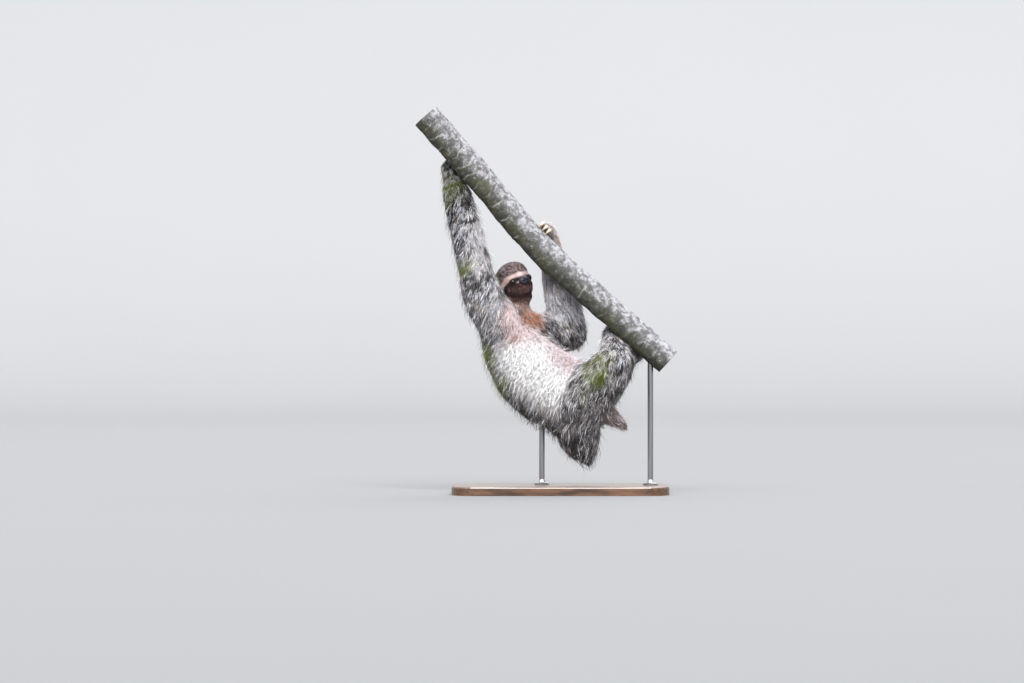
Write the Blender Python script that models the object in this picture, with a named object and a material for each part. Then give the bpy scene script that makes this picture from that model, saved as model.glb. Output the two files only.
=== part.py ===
"""A life-size brown-throated three-toed sloth hanging from a cut length of branch, on a stand.

Metres, +Z up, -Y towards the viewer.  The origin is the middle of the stand's underside.
"right" and "left" are the animal's own sides.  Every radius of the body is measured to the
tips of the coat.  The core (head, neck, trunk and tail) and each limb are fused from rows of
overlapping beads along their bones.  A limb is then fitted against the core, and core and
limbs are parted at their joints by thin round saw cuts.
"""

import math

import bmesh
import bpy
from mathutils import Matrix, Vector

# ---------------------------------------------------------------- driving dimensions
GAP = 0.0004            # clearance between neighbouring solids
CUT = 0.0006            # width of the cuts that part the body
FUSE_VOXEL = 0.0020     # grain of the fused forms before they are thinned
CORE_SHARE, LIMB_SHARE = 0.0088, 0.0055  # share of that grain's triangles that is kept
FACE_REACH = (0.030, 0.075)             # where the face's finer detail starts and stops fading
FACE_SOFTNESS, FACE_DETAIL = 0.12, 0.010

BRANCH_R = 0.035
BRANCH = (              # centre line, from the upper cut end to the lower one
    Vector((-0.3350, 0.0, 0.9450)),
    Vector((-0.2000, 0.0, 0.7900)),
    Vector((-0.0500, 0.0, 0.6150)),
    Vector((0.1000, 0.0, 0.4800)),
    Vector((0.2700, 0.0, 0.3300)),
)

BASE_LENGTH, BASE_DEPTH, BASE_HEIGHT = 0.540, 0.300, 0.022
BASE_CORNER_R, BASE_EDGE_R = 0.060, 0.004
ROD_R, COLLAR_R, COLLAR_HEIGHT, COLLAR_NECK_R = 0.007, 0.019, 0.005, 0.0105
ROD_FEET = {            # where each rod stands on the base, and how high it reaches
    "body": (Vector((-0.045, 0.030, BASE_HEIGHT)), 0.215),
    "perch": (Vector((0.226, 0.0, BASE_HEIGHT)), 0.334),
}

HEAD_CENTRE = Vector((-0.1130, 0.0450, 0.5260))
HEAD_YAW, HEAD_PITCH, HEAD_ROLL = (math.radians(a) for a in (28.0, 20.0, 15.5))

EYE_R = 0.0062
CLAW_ROOT_R, CLAW_TIP_R = 0.0052, 0.0015
CLAW_SPACING = 0.0122
CLAWS_PER_FOOT = 3

# Joints and other marks of the body.
CHEST = Vector((-0.136, 0.026, 0.395))
SHOULDER = {"right": Vector((-0.152, -0.002, 0.424)), "left": Vector((-0.074, 0.055, 0.418))}
ELBOW = {"right": Vector((-0.208, -0.020, 0.550)), "left": Vector((0.023, 0.078, 0.400))}
WRIST = {"right": Vector((-0.268, 0.022, 0.792)), "left": Vector((-0.012, 0.060, 0.590))}
HIP = {"right": Vector((0.048, -0.004, 0.236)), "left": Vector((0.074, 0.072, 0.240))}
KNEE = {"right": Vector((0.134, -0.034, 0.325)), "left": Vector((0.142, 0.100, 0.316))}
ANKLE = {"right": Vector((0.142, 0.028, 0.394)), "left": Vector((0.170, 0.072, 0.360))}
RUMP = Vector((0.056, 0.030, 0.208))
TAIL_ROOT = Vector((0.099, 0.030, 0.211))
TAIL_TIP = Vector((0.157, 0.030, 0.172))

# Where each limb's root lies inside the trunk.
ARM_ROOT = {"right": Vector((-0.150, 0.018, 0.388)), "left": Vector((-0.104, 0.040, 0.408))}
LEG_ROOT = {"right": Vector((0.006, 0.016, 0.222)), "left": Vector((0.022, 0.050, 0.228))}

# Coat-tip radii along each limb, four for the upper segment and four for the lower one.
SEGMENT_MARKS = (0.0, 0.40, 0.78, 1.0)
ARM_ROOT_R, LEG_ROOT_R = 0.050, 0.058
ARM_R = {"right": ((0.058, 0.055, 0.051, 0.046), (0.046, 0.043, 0.040, 0.028)),
         "left": ((0.044, 0.047, 0.049, 0.050), (0.050, 0.048, 0.045, 0.030))}
LEG_R = {"right": ((0.067, 0.065, 0.056, 0.049), (0.049, 0.044, 0.040, 0.034)),
         "left": ((0.064, 0.065, 0.057, 0.047), (0.047, 0.044, 0.040, 0.034))}

UPPER_BOW = {            # how far the middle of each upper segment bows off the straight line
    "arm_right": Vector((-0.008, 0.0, -0.002)), "arm_left": Vector((0.0, 0.004, -0.004)),
    "leg_right": Vector((0.0, 0.0, 0.0)), "leg_left": Vector((0.0, 0.004, 0.0)),
}
FLATTER = 0.92          # a limb's depth as a share of its width
HAND_SIZES = ((0.028, 0.025, 0.0225), (0.027, 0.018, 0.0100))   # widths and depths of a hand
FOOT_SIZES = ((0.032, 0.027, 0.0215), (0.030, 0.019, 0.0120))

# Grips: where along the branch, 0 at its upper end and 1 at its lower one, each foot holds,
# the arc that its claws take round it, in degrees from the far side over the top, how far
# their roots stand off the bark, and how far behind them (degrees) and further down the
# branch (slide) the palm lies.
GRIPS = {
    "hand_right": {"along": 0.167, "arc": (-32.0, 58.0), "lift": 0.003, "bend": 24.0, "slide": 0.0},
    "hand_left": {"along": 0.468, "arc": (70.0, 120.0), "lift": 0.008, "bend": 25.0, "slide": 0.013},
    "foot_right": {"along": 0.830, "arc": (-32.0, 56.0), "lift": 0.003, "bend": 24.0, "slide": 0.0},
    "foot_left": {"along": 0.918, "arc": (-32.0, 56.0), "lift": 0.003, "bend": 24.0, "slide": 0.0},
}

# Masses of the head in its own frame: place (left, face, crown), then half axes.
SKULL = ((0.0, -0.006, 0.006), (0.0470, 0.0460, 0.0480))
NAPE = ((0.0, -0.022, -0.012), (0.0430, 0.0350, 0.0430))
BROW = ((0.0, 0.015, 0.0215), (0.0405, 0.0245, 0.0280))
CHEEKS = ((0.0, 0.010, -0.014), (0.0430, 0.0280, 0.0280))
MUZZLE = ((0.0, 0.031, -0.011), (0.0215, 0.0195, 0.0165))
JAW = ((0.0, 0.024, -0.028), (0.0260, 0.0220, 0.0160))
THROAT = ((0.0, 0.004, -0.042), (0.0330, 0.0300, 0.0220))
EYE = (0.0245, 0.0330, -0.0010)
NOSE = ((0.0, 0.0460, -0.0085), (0.0136, 0.0076, 0.0118))

COLOURS = {             # name: (red, green, blue, roughness, metallic)
    "coat": (0.34, 0.30, 0.26, 0.95, 0.0),
    "eye": (0.02, 0.012, 0.008, 0.1, 0.0),
    "nose": (0.03, 0.026, 0.032, 0.45, 0.0),
    "claw": (0.52, 0.42, 0.26, 0.5, 0.0),
    "bark": (0.42, 0.40, 0.36, 0.9, 0.0),
    "base": (0.05, 0.045, 0.04, 0.4, 0.0),
    "steel": (0.55, 0.55, 0.56, 0.35, 1.0),
}

ACROSS = Vector((1.0, 0.0, 0.0))
UP = Vector((0.0, 0.0, 1.0))


# ---------------------------------------------------------------- small helpers
def clear_scene():
    for obj in list(bpy.data.objects):
        bpy.data.objects.remove(obj)


def material(slot):
    """The Principled material of a slot, made the first time it is asked for."""
    found = bpy.data.materials.get(slot)
    if found:
        return found
    red, green, blue, roughness, metallic = COLOURS[slot]
    made = bpy.data.materials.new(slot)
    made.use_nodes = True
    shader = made.node_tree.nodes["Principled BSDF"]
    shader.inputs["Base Color"].default_value = (red, green, blue, 1.0)
    shader.inputs["Roughness"].default_value = roughness
    shader.inputs["Metallic"].default_value = metallic
    return made


def shade(mesh):
    """Smooth faces with crisp edges where the surface turns sharply."""
    mesh.shade_smooth()
    mesh.set_sharp_from_angle(angle=math.radians(50.0))


def add_object(name, bm, slot):
    """A new object from a bmesh, with its normals out."""
    bmesh.ops.recalc_face_normals(bm, faces=bm.faces[:])
    mesh = bpy.data.meshes.new(name)
    bm.to_mesh(mesh)
    bm.free()
    mesh.materials.append(material(slot))
    shade(mesh)
    obj = bpy.data.objects.new(name, mesh)
    bpy.context.scene.collection.objects.link(obj)
    return obj


def apply_modifiers(obj):
    """Replaces the object's mesh by what its modifiers make of it."""
    graph = bpy.context.evaluated_depsgraph_get()
    made = bpy.data.meshes.new_from_object(obj.evaluated_get(graph), depsgraph=graph)
    obj.modifiers.clear()
    obj.data = made


def subtract(obj, cutter):
    """Cuts the cutter from obj and keeps the cutter."""
    boolean = obj.modifiers.new("cut", "BOOLEAN")
    boolean.operation = "DIFFERENCE"
    boolean.object = cutter
    apply_modifiers(obj)


def subtract_all(obj, cutters):
    """Cuts each cutter from obj and removes it."""
    for cutter in cutters:
        subtract(obj, cutter)
        bpy.data.objects.remove(cutter)


def spline(points, count):
    """count points along a Catmull-Rom curve through the points, evenly by its parameter."""
    ends = [2 * points[0] - points[1], *points, 2 * points[-1] - points[-2]]
    made = []
    for i in range(count):
        at = i / (count - 1) * (len(points) - 1)
        k = min(int(at), len(points) - 2)
        t = at - k
        a, b, c, d = ends[k:k + 4]
        made.append(0.5 * (2 * b + (c - a) * t + (2 * a - 5 * b + 4 * c - d) * t * t
                           + (3 * b - 3 * c + d - a) * t ** 3))
    return made


def frame_of(direction, side):
    """A rotation whose Z is direction and whose X is as near to side as it can be."""
    z = direction.normalized()
    y = z.cross(side).normalized()
    return Matrix((y.cross(z), y, z)).transposed()


# ---------------------------------------------------------------- the branch and the claws
def tube(name, path, radii, slot, sides, tip=False):
    """A lofted tube with flat ends, or with its last end drawn to a point."""
    bm = bmesh.new()
    rings = []
    for i, centre in enumerate(path):
        ahead = path[min(i + 1, len(path) - 1)] - path[max(i - 1, 0)]
        turn = frame_of(ahead, Vector((0.0, 1.0, 0.0)) if abs(ahead.normalized().y) < 0.9
                        else ACROSS)
        ring = []
        for k in range(sides):
            angle = 2 * math.pi * k / sides
            spoke = Vector((math.cos(angle), math.sin(angle), 0.0))
            ring.append(bm.verts.new(centre + turn @ (spoke * radii[i])))
        rings.append(ring)
    for lower, upper in zip(rings, rings[1:]):
        for k in range(sides):
            n = (k + 1) % sides
            bm.faces.new((lower[k], lower[n], upper[n], upper[k]))
    bm.faces.new(list(reversed(rings[0])))
    if tip:
        point = bm.verts.new(path[-1] + (path[-1] - path[-2]).normalized() * radii[-1])
        for k in range(sides):
            bm.faces.new((rings[-1][k], rings[-1][(k + 1) % sides], point))
    else:
        bm.faces.new(rings[-1])
    return add_object(name, bm, slot)


def branch_point(along):
    """(centre, direction down the branch, direction over its top) at a share of its length."""
    path = spline(BRANCH, 201)
    k = min(int(along * 200), 199)
    centre = path[k].lerp(path[k + 1], along * 200 - k)
    down = (path[k + 1] - path[k]).normalized()
    return centre, down, Vector((-down.z, 0.0, down.x))


def make_branch(name, extra=0.0, rings=22, sides=14):
    """The cut branch, or with extra a fatter and longer one that makes room for it."""
    path = spline(BRANCH, rings)
    if extra:
        path[0] = path[0] + (path[0] - path[1])
        path[-1] = path[-1] + (path[-1] - path[-2])
    radii = []
    for i in range(rings):
        along = i / (rings - 1)
        knots = 0.0010 * math.sin(along * 37.0) + 0.0006 * math.sin(along * 91.0 + 1.0)
        radii.append(BRANCH_R + knots + extra)
    return tube(name, path, radii, "bark", sides)


def grip_place(grip, angle, stand_off, shift=0.0):
    """A point round the branch: angle from the far side over the top, in degrees."""
    centre, down, over = branch_point(grip["along"])
    turn = math.radians(angle)
    reach = BRANCH_R + stand_off
    return (centre + down * shift + Vector((0.0, reach * math.cos(turn), 0.0))
            + over * (reach * math.sin(turn)))


def claw(name, grip, shift, extra=0.0, steps=7):
    """One hooked claw, its root in the knuckle and its tip over the branch."""
    start, end = grip["arc"]
    path, radii = [], []
    for i in range(steps):
        t = i / (steps - 1)
        radius = CLAW_ROOT_R + (CLAW_TIP_R - CLAW_ROOT_R) * t ** 1.3
        stand_off = 0.0024 + radius + grip["lift"] * (1 - t) ** 1.2
        path.append(grip_place(grip, start + (end - start) * t, stand_off, shift))
        radii.append(radius + extra)
    return tube(name, path, radii, "claw", sides=6, tip=True)


def claws_of(foot, extra=0.0):
    """The three claws of a hand or foot, named by it and counted from the upper one."""
    middle = (CLAWS_PER_FOOT - 1) / 2
    return [claw(f"claw_{foot}_{k + 1}", GRIPS[foot], (k - middle) * CLAW_SPACING, extra)
            for k in range(CLAWS_PER_FOOT)]


# ---------------------------------------------------------------- the body
def bead(bm, centre, size, turn, fine=3):
    """One ellipsoid of the body: size is its three half axes in the frame of turn."""
    place = Matrix.LocRotScale(centre, turn, Vector(size))
    bmesh.ops.create_icosphere(bm, subdivisions=fine, radius=1.0, matrix=place)


def row(bm, points, widths, depths, side=ACROSS, step=0.008):
    """A row of beads along a smooth path; widths run along side and depths across it."""
    length = sum((b - a).length for a, b in zip(points, points[1:]))
    count = max(4, round(length / step))
    path = spline(points, count)
    for i, centre in enumerate(path):
        at = i / (count - 1) * (len(points) - 1)
        k = min(int(at), len(points) - 2)
        t = at - k
        ease = t * t * (3 - 2 * t)
        width = widths[k] + (widths[k + 1] - widths[k]) * ease
        depth = depths[k] + (depths[k + 1] - depths[k]) * ease
        ahead = path[min(i + 1, count - 1)] - path[max(i - 1, 0)]
        bead(bm, centre, (width, depth, min(width, depth)), frame_of(ahead, side))


def head_frame():
    """Columns: the head's left side, its face direction and its crown direction."""
    level = Vector((math.sin(HEAD_YAW), -math.cos(HEAD_YAW), 0.0))
    face = level * math.cos(HEAD_PITCH) + UP * math.sin(HEAD_PITCH)
    crown = UP * math.cos(HEAD_PITCH) - level * math.sin(HEAD_PITCH)
    side = Vector((math.cos(HEAD_YAW), math.sin(HEAD_YAW), 0.0))
    left = side * math.cos(HEAD_ROLL) + crown * math.sin(HEAD_ROLL)
    crown = crown * math.cos(HEAD_ROLL) - side * math.sin(HEAD_ROLL)
    return Matrix((left, face, crown)).transposed()


def in_head(left, face, crown):
    return HEAD_CENTRE + head_frame() @ Vector((left, face, crown))


def add_head(bm):
    """Skull, nape, brow, cheeks, muzzle, jaw and throat."""
    turn = head_frame()
    for place, size in (SKULL, NAPE, BROW, CHEEKS, MUZZLE, JAW, THROAT):
        bead(bm, in_head(*place), size, turn, fine=4)


def add_limb(bm, marks, bow, root_radius, radii, foot_sizes, grip):
    """A limb from its root in the trunk to its knuckles, as three rows that share their joints."""
    root, upper, middle, end = marks
    above, below = radii
    ends = [upper.lerp(middle, t) + bow * (4 * t * (1 - t)) for t in SEGMENT_MARKS]
    row(bm, [root, *ends], (root_radius, *above), [FLATTER * r for r in (root_radius, *above)])
    row(bm, [middle.lerp(end, t) for t in SEGMENT_MARKS], below, [FLATTER * r for r in below])
    widths, depths = foot_sizes
    along = branch_point(grip["along"])[1]
    row(bm, [end, palm_of(grip), knuckle_of(grip)], widths, depths, along, step=0.005)


def palm_of(grip):
    return grip_place(grip, grip["arc"][0] - grip["bend"], 0.017 + grip["lift"], grip["slide"])


def knuckle_of(grip):
    return grip_place(grip, grip["arc"][0] - 2.0, 0.010 + grip["lift"])


def add_arm(bm, side):
    """Upper arm, forearm and hand."""
    marks = (ARM_ROOT[side], SHOULDER[side], ELBOW[side], WRIST[side])
    add_limb(bm, marks, UPPER_BOW[f"arm_{side}"], ARM_ROOT_R, ARM_R[side], HAND_SIZES,
             GRIPS[f"hand_{side}"])


def add_leg(bm, side):
    """Thigh, shank and foot."""
    marks = (LEG_ROOT[side], HIP[side], KNEE[side], ANKLE[side])
    add_limb(bm, marks, UPPER_BOW[f"leg_{side}"], LEG_ROOT_R, LEG_R[side], FOOT_SIZES,
             GRIPS[f"foot_{side}"])


def add_trunk(bm):
    """Ribs, belly and rump, the neck, the stub of a tail and the hair that hangs off the rump."""
    belly_side = Vector((0.72, 0.0, 0.69))
    row(bm,
        [CHEST + Vector((-0.002, 0.002, 0.024)), CHEST, Vector((-0.107, 0.026, 0.347)),
         Vector((-0.072, 0.026, 0.301)), Vector((-0.028, 0.028, 0.268)),
         Vector((0.014, 0.030, 0.243)), RUMP],
        (0.058, 0.067, 0.084, 0.096, 0.102, 0.099, 0.072),
        (0.056, 0.064, 0.076, 0.084, 0.086, 0.083, 0.066), belly_side)
    row(bm, [HEAD_CENTRE + Vector((0.0, 0.005, -0.030)), Vector((-0.114, 0.044, 0.468)),
             Vector((-0.122, 0.036, 0.432))],
        (0.042, 0.049, 0.055), (0.042, 0.048, 0.053))
    row(bm, [RUMP, TAIL_ROOT, TAIL_TIP], (0.060, 0.034, 0.019), (0.056, 0.032, 0.018), UP)
    row(bm, [Vector((0.040, 0.032, 0.170)), Vector((0.050, 0.034, 0.140)),
             Vector((0.064, 0.036, 0.115)), Vector((0.072, 0.036, 0.096)),
             Vector((0.075, 0.036, 0.080))],
        (0.064, 0.061, 0.045, 0.031, 0.016), (0.056, 0.048, 0.036, 0.024, 0.013))


def fuse(name, bm, share):
    """One closed skin round the beads, softened over the body and kept crisper on the face."""
    form = add_object(name, bm, "coat")
    remesh = form.modifiers.new("fuse", "REMESH")
    remesh.mode = "VOXEL"
    remesh.voxel_size = FUSE_VOXEL
    apply_modifiers(form)
    soft = form.vertex_groups.new(name="soft")
    face = in_head(0.0, 0.034, -0.008)
    near, far = FACE_REACH
    for vertex in form.data.vertices:
        away = ((vertex.co - face).length - near) / (far - near)
        soft.add([vertex.index], min(1.0, max(FACE_SOFTNESS, away)), "REPLACE")
    smooth = form.modifiers.new("soften", "SMOOTH")
    smooth.factor, smooth.iterations, smooth.vertex_group = 0.5, 30, "soft"
    apply_modifiers(form)
    thin = form.modifiers.new("thin", "DECIMATE")
    thin.ratio = share
    if name == "core":
        thin.vertex_group, thin.vertex_group_factor = "soft", FACE_DETAIL
    apply_modifiers(form)
    form.vertex_groups.clear()
    return form


def fused_core():
    bm = bmesh.new()
    add_trunk(bm)
    add_head(bm)
    return fuse("core", bm, CORE_SHARE)


def fused_limb(kind, side):
    bm = bmesh.new()
    if kind == "arm":
        add_arm(bm, side)
    else:
        add_leg(bm, side)
    return fuse(f"{kind}_{side}", bm, LIMB_SHARE)


def swollen(form):
    """A copy grown outwards by the clearance, to cut room for the form in its neighbours."""
    copy = bpy.data.objects.new("swollen", form.data.copy())
    bpy.context.scene.collection.objects.link(copy)
    grow = copy.modifiers.new("grow", "DISPLACE")
    grow.strength, grow.mid_level = 1.4 * GAP, 0.0
    apply_modifiers(copy)
    return copy


def saw(centre, normal, radius):
    """A thin round plate that parts a form where a joint is."""
    bm = bmesh.new()
    place = Matrix.LocRotScale(centre, normal.to_track_quat("Z", "Y"), None)
    bmesh.ops.create_cone(bm, cap_ends=True, segments=24, radius1=radius, radius2=radius,
                          depth=CUT, matrix=place)
    return add_object("saw", bm, "coat")


def holds(obj, point):
    """Whether a point lies inside an object's closed mesh: a ray from it leaves an odd count."""
    ray = Vector((0.13, 0.57, 0.81)).normalized()
    crossings = 0
    hit, place, _, _ = obj.ray_cast(point, ray)
    while hit:
        crossings += 1
        hit, place, _, _ = obj.ray_cast(place + ray * 1e-6, ray)
    return crossings % 2 == 1


def loose_pieces(form):
    """Splits a form into one object for each of its unconnected pieces, and removes it."""
    bm = bmesh.new()
    bm.from_mesh(form.data)
    bpy.data.objects.remove(form)
    piece_of = {}
    count = 0
    for seed in bm.verts:
        if seed in piece_of:
            continue
        piece_of[seed] = count
        front = [seed]
        while front:
            for edge in front.pop().link_edges:
                for vert in edge.verts:
                    if vert not in piece_of:
                        piece_of[vert] = count
                        front.append(vert)
        count += 1
    pieces = []
    for index in range(count):
        own = bm.copy()
        own.verts.ensure_lookup_table()
        others = [own.verts[vert.index] for vert, piece in piece_of.items() if piece != index]
        bmesh.ops.delete(own, geom=others, context="VERTS")
        pieces.append(add_object("piece", own, "coat"))
    bm.free()
    return pieces


def part_form(form, cuts, insides):
    """Saws a form at its joints and names each piece by the marker point that it holds."""
    subtract_all(form, [saw(*cut) for cut in cuts])
    missing = dict(insides)
    for piece in loose_pieces(form):
        names = [name for name, point in insides.items() if holds(piece, point)]
        if len(names) > 1:
            raise ValueError(f"no cut between {' and '.join(names)}")
        if names:
            piece.name = names[0]
            piece.data.name = names[0]
            del missing[names[0]]
        else:
            bpy.data.objects.remove(piece)
    if missing:
        raise ValueError(f"no piece at {', '.join(missing)}")


def part_core(core):
    """Head, neck, trunk and tail."""
    neck_line = Vector((0.10, 0.05, 1.0)).normalized()
    nape_line = (head_frame() @ Vector((0.0, 0.30, 1.0))).normalized() + neck_line
    tail_line = Vector((0.95, 0.0, -0.30))
    part_form(core,
              [(in_head(0.0, -0.010, -0.048), nape_line, 0.080),
               (Vector((-0.122, 0.034, 0.440)), neck_line, 0.080),
               (TAIL_ROOT.lerp(TAIL_TIP, 0.50), tail_line, 0.046)],
              {"head": in_head(0.0, 0.0, 0.005), "neck": Vector((-0.116, 0.040, 0.460)),
               "trunk": Vector((-0.072, 0.026, 0.301)), "tail": TAIL_ROOT.lerp(TAIL_TIP, 0.8)})


def part_arm(arm, side):
    """Upper arm, forearm and hand."""
    shoulder, elbow, wrist = SHOULDER[side], ELBOW[side], WRIST[side]
    grip = GRIPS[f"hand_{side}"]
    palm = palm_of(grip)
    part_form(arm,
              [(elbow, (wrist - elbow).normalized() + (elbow - shoulder).normalized(), 0.100),
               (wrist, (wrist - elbow).normalized() + (palm - wrist).normalized(), 0.050)],
              {f"upper_arm_{side}": shoulder.lerp(elbow, 0.75),
               f"forearm_{side}": elbow.lerp(wrist, 0.5), f"hand_{side}": palm})


def part_leg(leg, side):
    """Thigh, shank and foot."""
    hip, knee, ankle = HIP[side], KNEE[side], ANKLE[side]
    grip = GRIPS[f"foot_{side}"]
    sole = palm_of(grip)
    part_form(leg,
              [(knee, (ankle - knee).normalized() + (knee - hip).normalized(), 0.085),
               (ankle, (ankle - knee).normalized() + (sole - ankle).normalized(), 0.055)],
              {f"thigh_{side}": hip.lerp(knee, 0.75),
               f"shank_{side}": knee.lerp(ankle, 0.5), f"foot_{side}": sole})


# ---------------------------------------------------------------- eyes, nose and stand
def ball(name, place, size, slot, turn, extra=0.0):
    """An eye or the nose pad: an ellipsoid in the frame of turn."""
    bm = bmesh.new()
    axes = Vector([half + extra for half in size])
    bmesh.ops.create_uvsphere(bm, u_segments=12, v_segments=8, radius=1.0,
                              matrix=Matrix.LocRotScale(place, turn, axes))
    return add_object(name, bm, slot)


def face_balls(extra=0.0):
    """The two eyes and the nose pad, or with extra the room that they need."""
    left, face, crown = EYE
    turn = head_frame()
    return [ball("eye_right", in_head(-left, face, crown), (EYE_R,) * 3, "eye", turn, extra),
            ball("eye_left", in_head(left, face, crown), (EYE_R,) * 3, "eye", turn, extra),
            ball("nose", in_head(*NOSE[0]), NOSE[1], "nose", turn, extra)]


def stand_base():
    """A flat base with round corners and softened edges."""
    bm = bmesh.new()
    size = Vector((BASE_LENGTH, BASE_DEPTH, BASE_HEIGHT))
    bmesh.ops.create_cube(bm, size=1.0, matrix=Matrix.LocRotScale(
        Vector((0.0, 0.0, BASE_HEIGHT / 2)), None, size))
    upright = [e for e in bm.edges if abs(e.verts[0].co.z - e.verts[1].co.z) > BASE_HEIGHT / 2]
    bmesh.ops.bevel(bm, geom=upright, offset=BASE_CORNER_R, segments=7, affect="EDGES",
                    profile=0.5)
    rim = [e for e in bm.edges if all(v.co.z > BASE_HEIGHT * 0.9 for v in e.verts)]
    bmesh.ops.bevel(bm, geom=rim, offset=BASE_EDGE_R, segments=2, affect="EDGES", profile=0.5)
    return add_object("stand_base", bm, "base")


def stand_rod(name, foot, top, extra=0.0):
    """A slim rod with a turned collar at its foot."""
    profile = ((COLLAR_R, 0.0), (COLLAR_R, 0.7 * COLLAR_HEIGHT),
               (COLLAR_R - 0.0015, COLLAR_HEIGHT), (COLLAR_NECK_R, 1.3 * COLLAR_HEIGHT),
               (ROD_R, 2.6 * COLLAR_HEIGHT))
    start = foot + UP * GAP
    path = [start + UP * height for _, height in profile]
    path.append(Vector((foot.x, foot.y, top + extra)))
    radii = [radius + extra for radius, _ in profile] + [ROD_R + extra]
    return tube(name, path, radii, "steel", sides=16)


# ---------------------------------------------------------------- main
def build():
    clear_scene()
    core = fused_core()
    limbs = {(kind, side): fused_limb(kind, side)
             for kind in ("arm", "leg") for side in ("right", "left")}

    core_room = swollen(core)
    leg_room = swollen(limbs["leg", "right"])
    branch_room = make_branch("room", extra=GAP)
    for (kind, side), limb in limbs.items():
        subtract(limb, core_room)
        subtract(limb, branch_room)
        foot = f"{'hand' if kind == 'arm' else 'foot'}_{side}"
        subtract_all(limb, claws_of(foot, extra=GAP))
    subtract(limbs["leg", "left"], leg_room)
    for room in (core_room, leg_room, branch_room):
        bpy.data.objects.remove(room)
    subtract_all(core, face_balls(extra=GAP))
    subtract_all(core, [stand_rod("room", *ROD_FEET["body"], extra=GAP)])

    part_core(core)
    for (kind, side), limb in limbs.items():
        if kind == "arm":
            part_arm(limb, side)
        else:
            part_leg(limb, side)

    face_balls()
    for foot in GRIPS:
        claws_of(foot)
    perch = make_branch("perch")
    subtract_all(perch, [stand_rod("room", *ROD_FEET["perch"], extra=GAP)])
    stand_base()
    for held, (foot, top) in ROD_FEET.items():
        stand_rod(f"stand_rod_{held}", foot, top)


build()
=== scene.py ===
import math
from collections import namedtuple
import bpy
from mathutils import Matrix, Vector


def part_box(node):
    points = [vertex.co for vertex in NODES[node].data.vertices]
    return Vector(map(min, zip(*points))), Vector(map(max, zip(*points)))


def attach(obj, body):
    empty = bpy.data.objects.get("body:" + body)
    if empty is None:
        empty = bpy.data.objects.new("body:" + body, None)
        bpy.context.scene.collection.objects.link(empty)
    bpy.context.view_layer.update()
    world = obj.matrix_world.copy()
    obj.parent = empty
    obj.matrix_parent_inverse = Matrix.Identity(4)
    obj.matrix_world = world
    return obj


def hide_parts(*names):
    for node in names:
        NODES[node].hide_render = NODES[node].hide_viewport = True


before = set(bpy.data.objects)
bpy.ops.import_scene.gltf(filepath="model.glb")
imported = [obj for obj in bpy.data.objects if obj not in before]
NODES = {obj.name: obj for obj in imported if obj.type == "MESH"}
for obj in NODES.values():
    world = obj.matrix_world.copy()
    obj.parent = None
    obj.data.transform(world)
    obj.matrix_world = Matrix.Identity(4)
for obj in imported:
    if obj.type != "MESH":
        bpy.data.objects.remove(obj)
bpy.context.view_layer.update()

# Looks of the three-toed sloth on its cut branch and display stand. Metres, in the packed
# model's frame: +X to the right of the view, +Y away from the camera, +Z up.
from types import SimpleNamespace

import bmesh
import bpy
import numpy as np
import openvdb as vdb
from mathutils import Vector
from mathutils.kdtree import KDTree

RANDOM = np.random.default_rng(20)
NOISE_SEED, SHADE_SEED, WARMTH_SEED = 7, 11, 12
FAR = 9.0               # beyond anything in the model

# ---------------------------------------------------------------- sizes, as in the solids
BRANCH_R = 0.035
BRANCH = np.array([(-0.3350, 0.0, 0.9450), (-0.2000, 0.0, 0.7900), (-0.0500, 0.0, 0.6150),
                   (0.1000, 0.0, 0.4800), (0.2700, 0.0, 0.3300)])
HEAD_CENTRE = np.array((-0.1130, 0.0450, 0.5260))
HEAD_YAW, HEAD_PITCH, HEAD_ROLL = (math.radians(a) for a in (28.0, 20.0, 15.5))
EYE_R = 0.0062
EYE_PLACE = np.array((0.0245, 0.0330, -0.0010))
NOSE_PLACE, NOSE_SIZE = np.array((0.0, 0.0460, -0.0085)), np.array((0.0136, 0.0076, 0.0118))
CLAW_ROOT_R, CLAW_TIP_R, CLAW_SPACING, CLAW_GAP = 0.0052, 0.0015, 0.0122, 0.0024
GRIPS = {               # along the branch, arc of the claws in degrees, lift of their roots
    "hand_right": (0.167, -32.0, 58.0, 0.003),
    "hand_left": (0.468, 70.0, 120.0, 0.008),
    "foot_right": (0.830, -32.0, 56.0, 0.003),
    "foot_left": (0.918, -32.0, 56.0, 0.003),
}

# ---------------------------------------------------------------- the coat's plan
VOXEL = 0.003           # grain of the skin's field
CLOSE = 0.0012          # how far the solids swell to shut the gaps between them
LOCKS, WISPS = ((70000, 100000))
LEADERS = 14000         # locks that the tufts are gathered into
SINK = 0.0012           # how deep a tuft is rooted
PIECE_LIMIT = 196000    # triangles of one piece of the coat
HEAD_REACH = 0.095      # where the head's own form ends, from its centre
SHARP_REACH = 0.062     # where the head's form is no longer at its full sharpness
SKIN_REACH = 0.035      # how far from the solids' surface the skin's field is shaped
FINE_REACHES = (0.050, 0.030)   # of each round of finer quads, from the muzzle's middle
MUZZLE_PLACE = (0.0, 0.036, -0.016)

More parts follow.
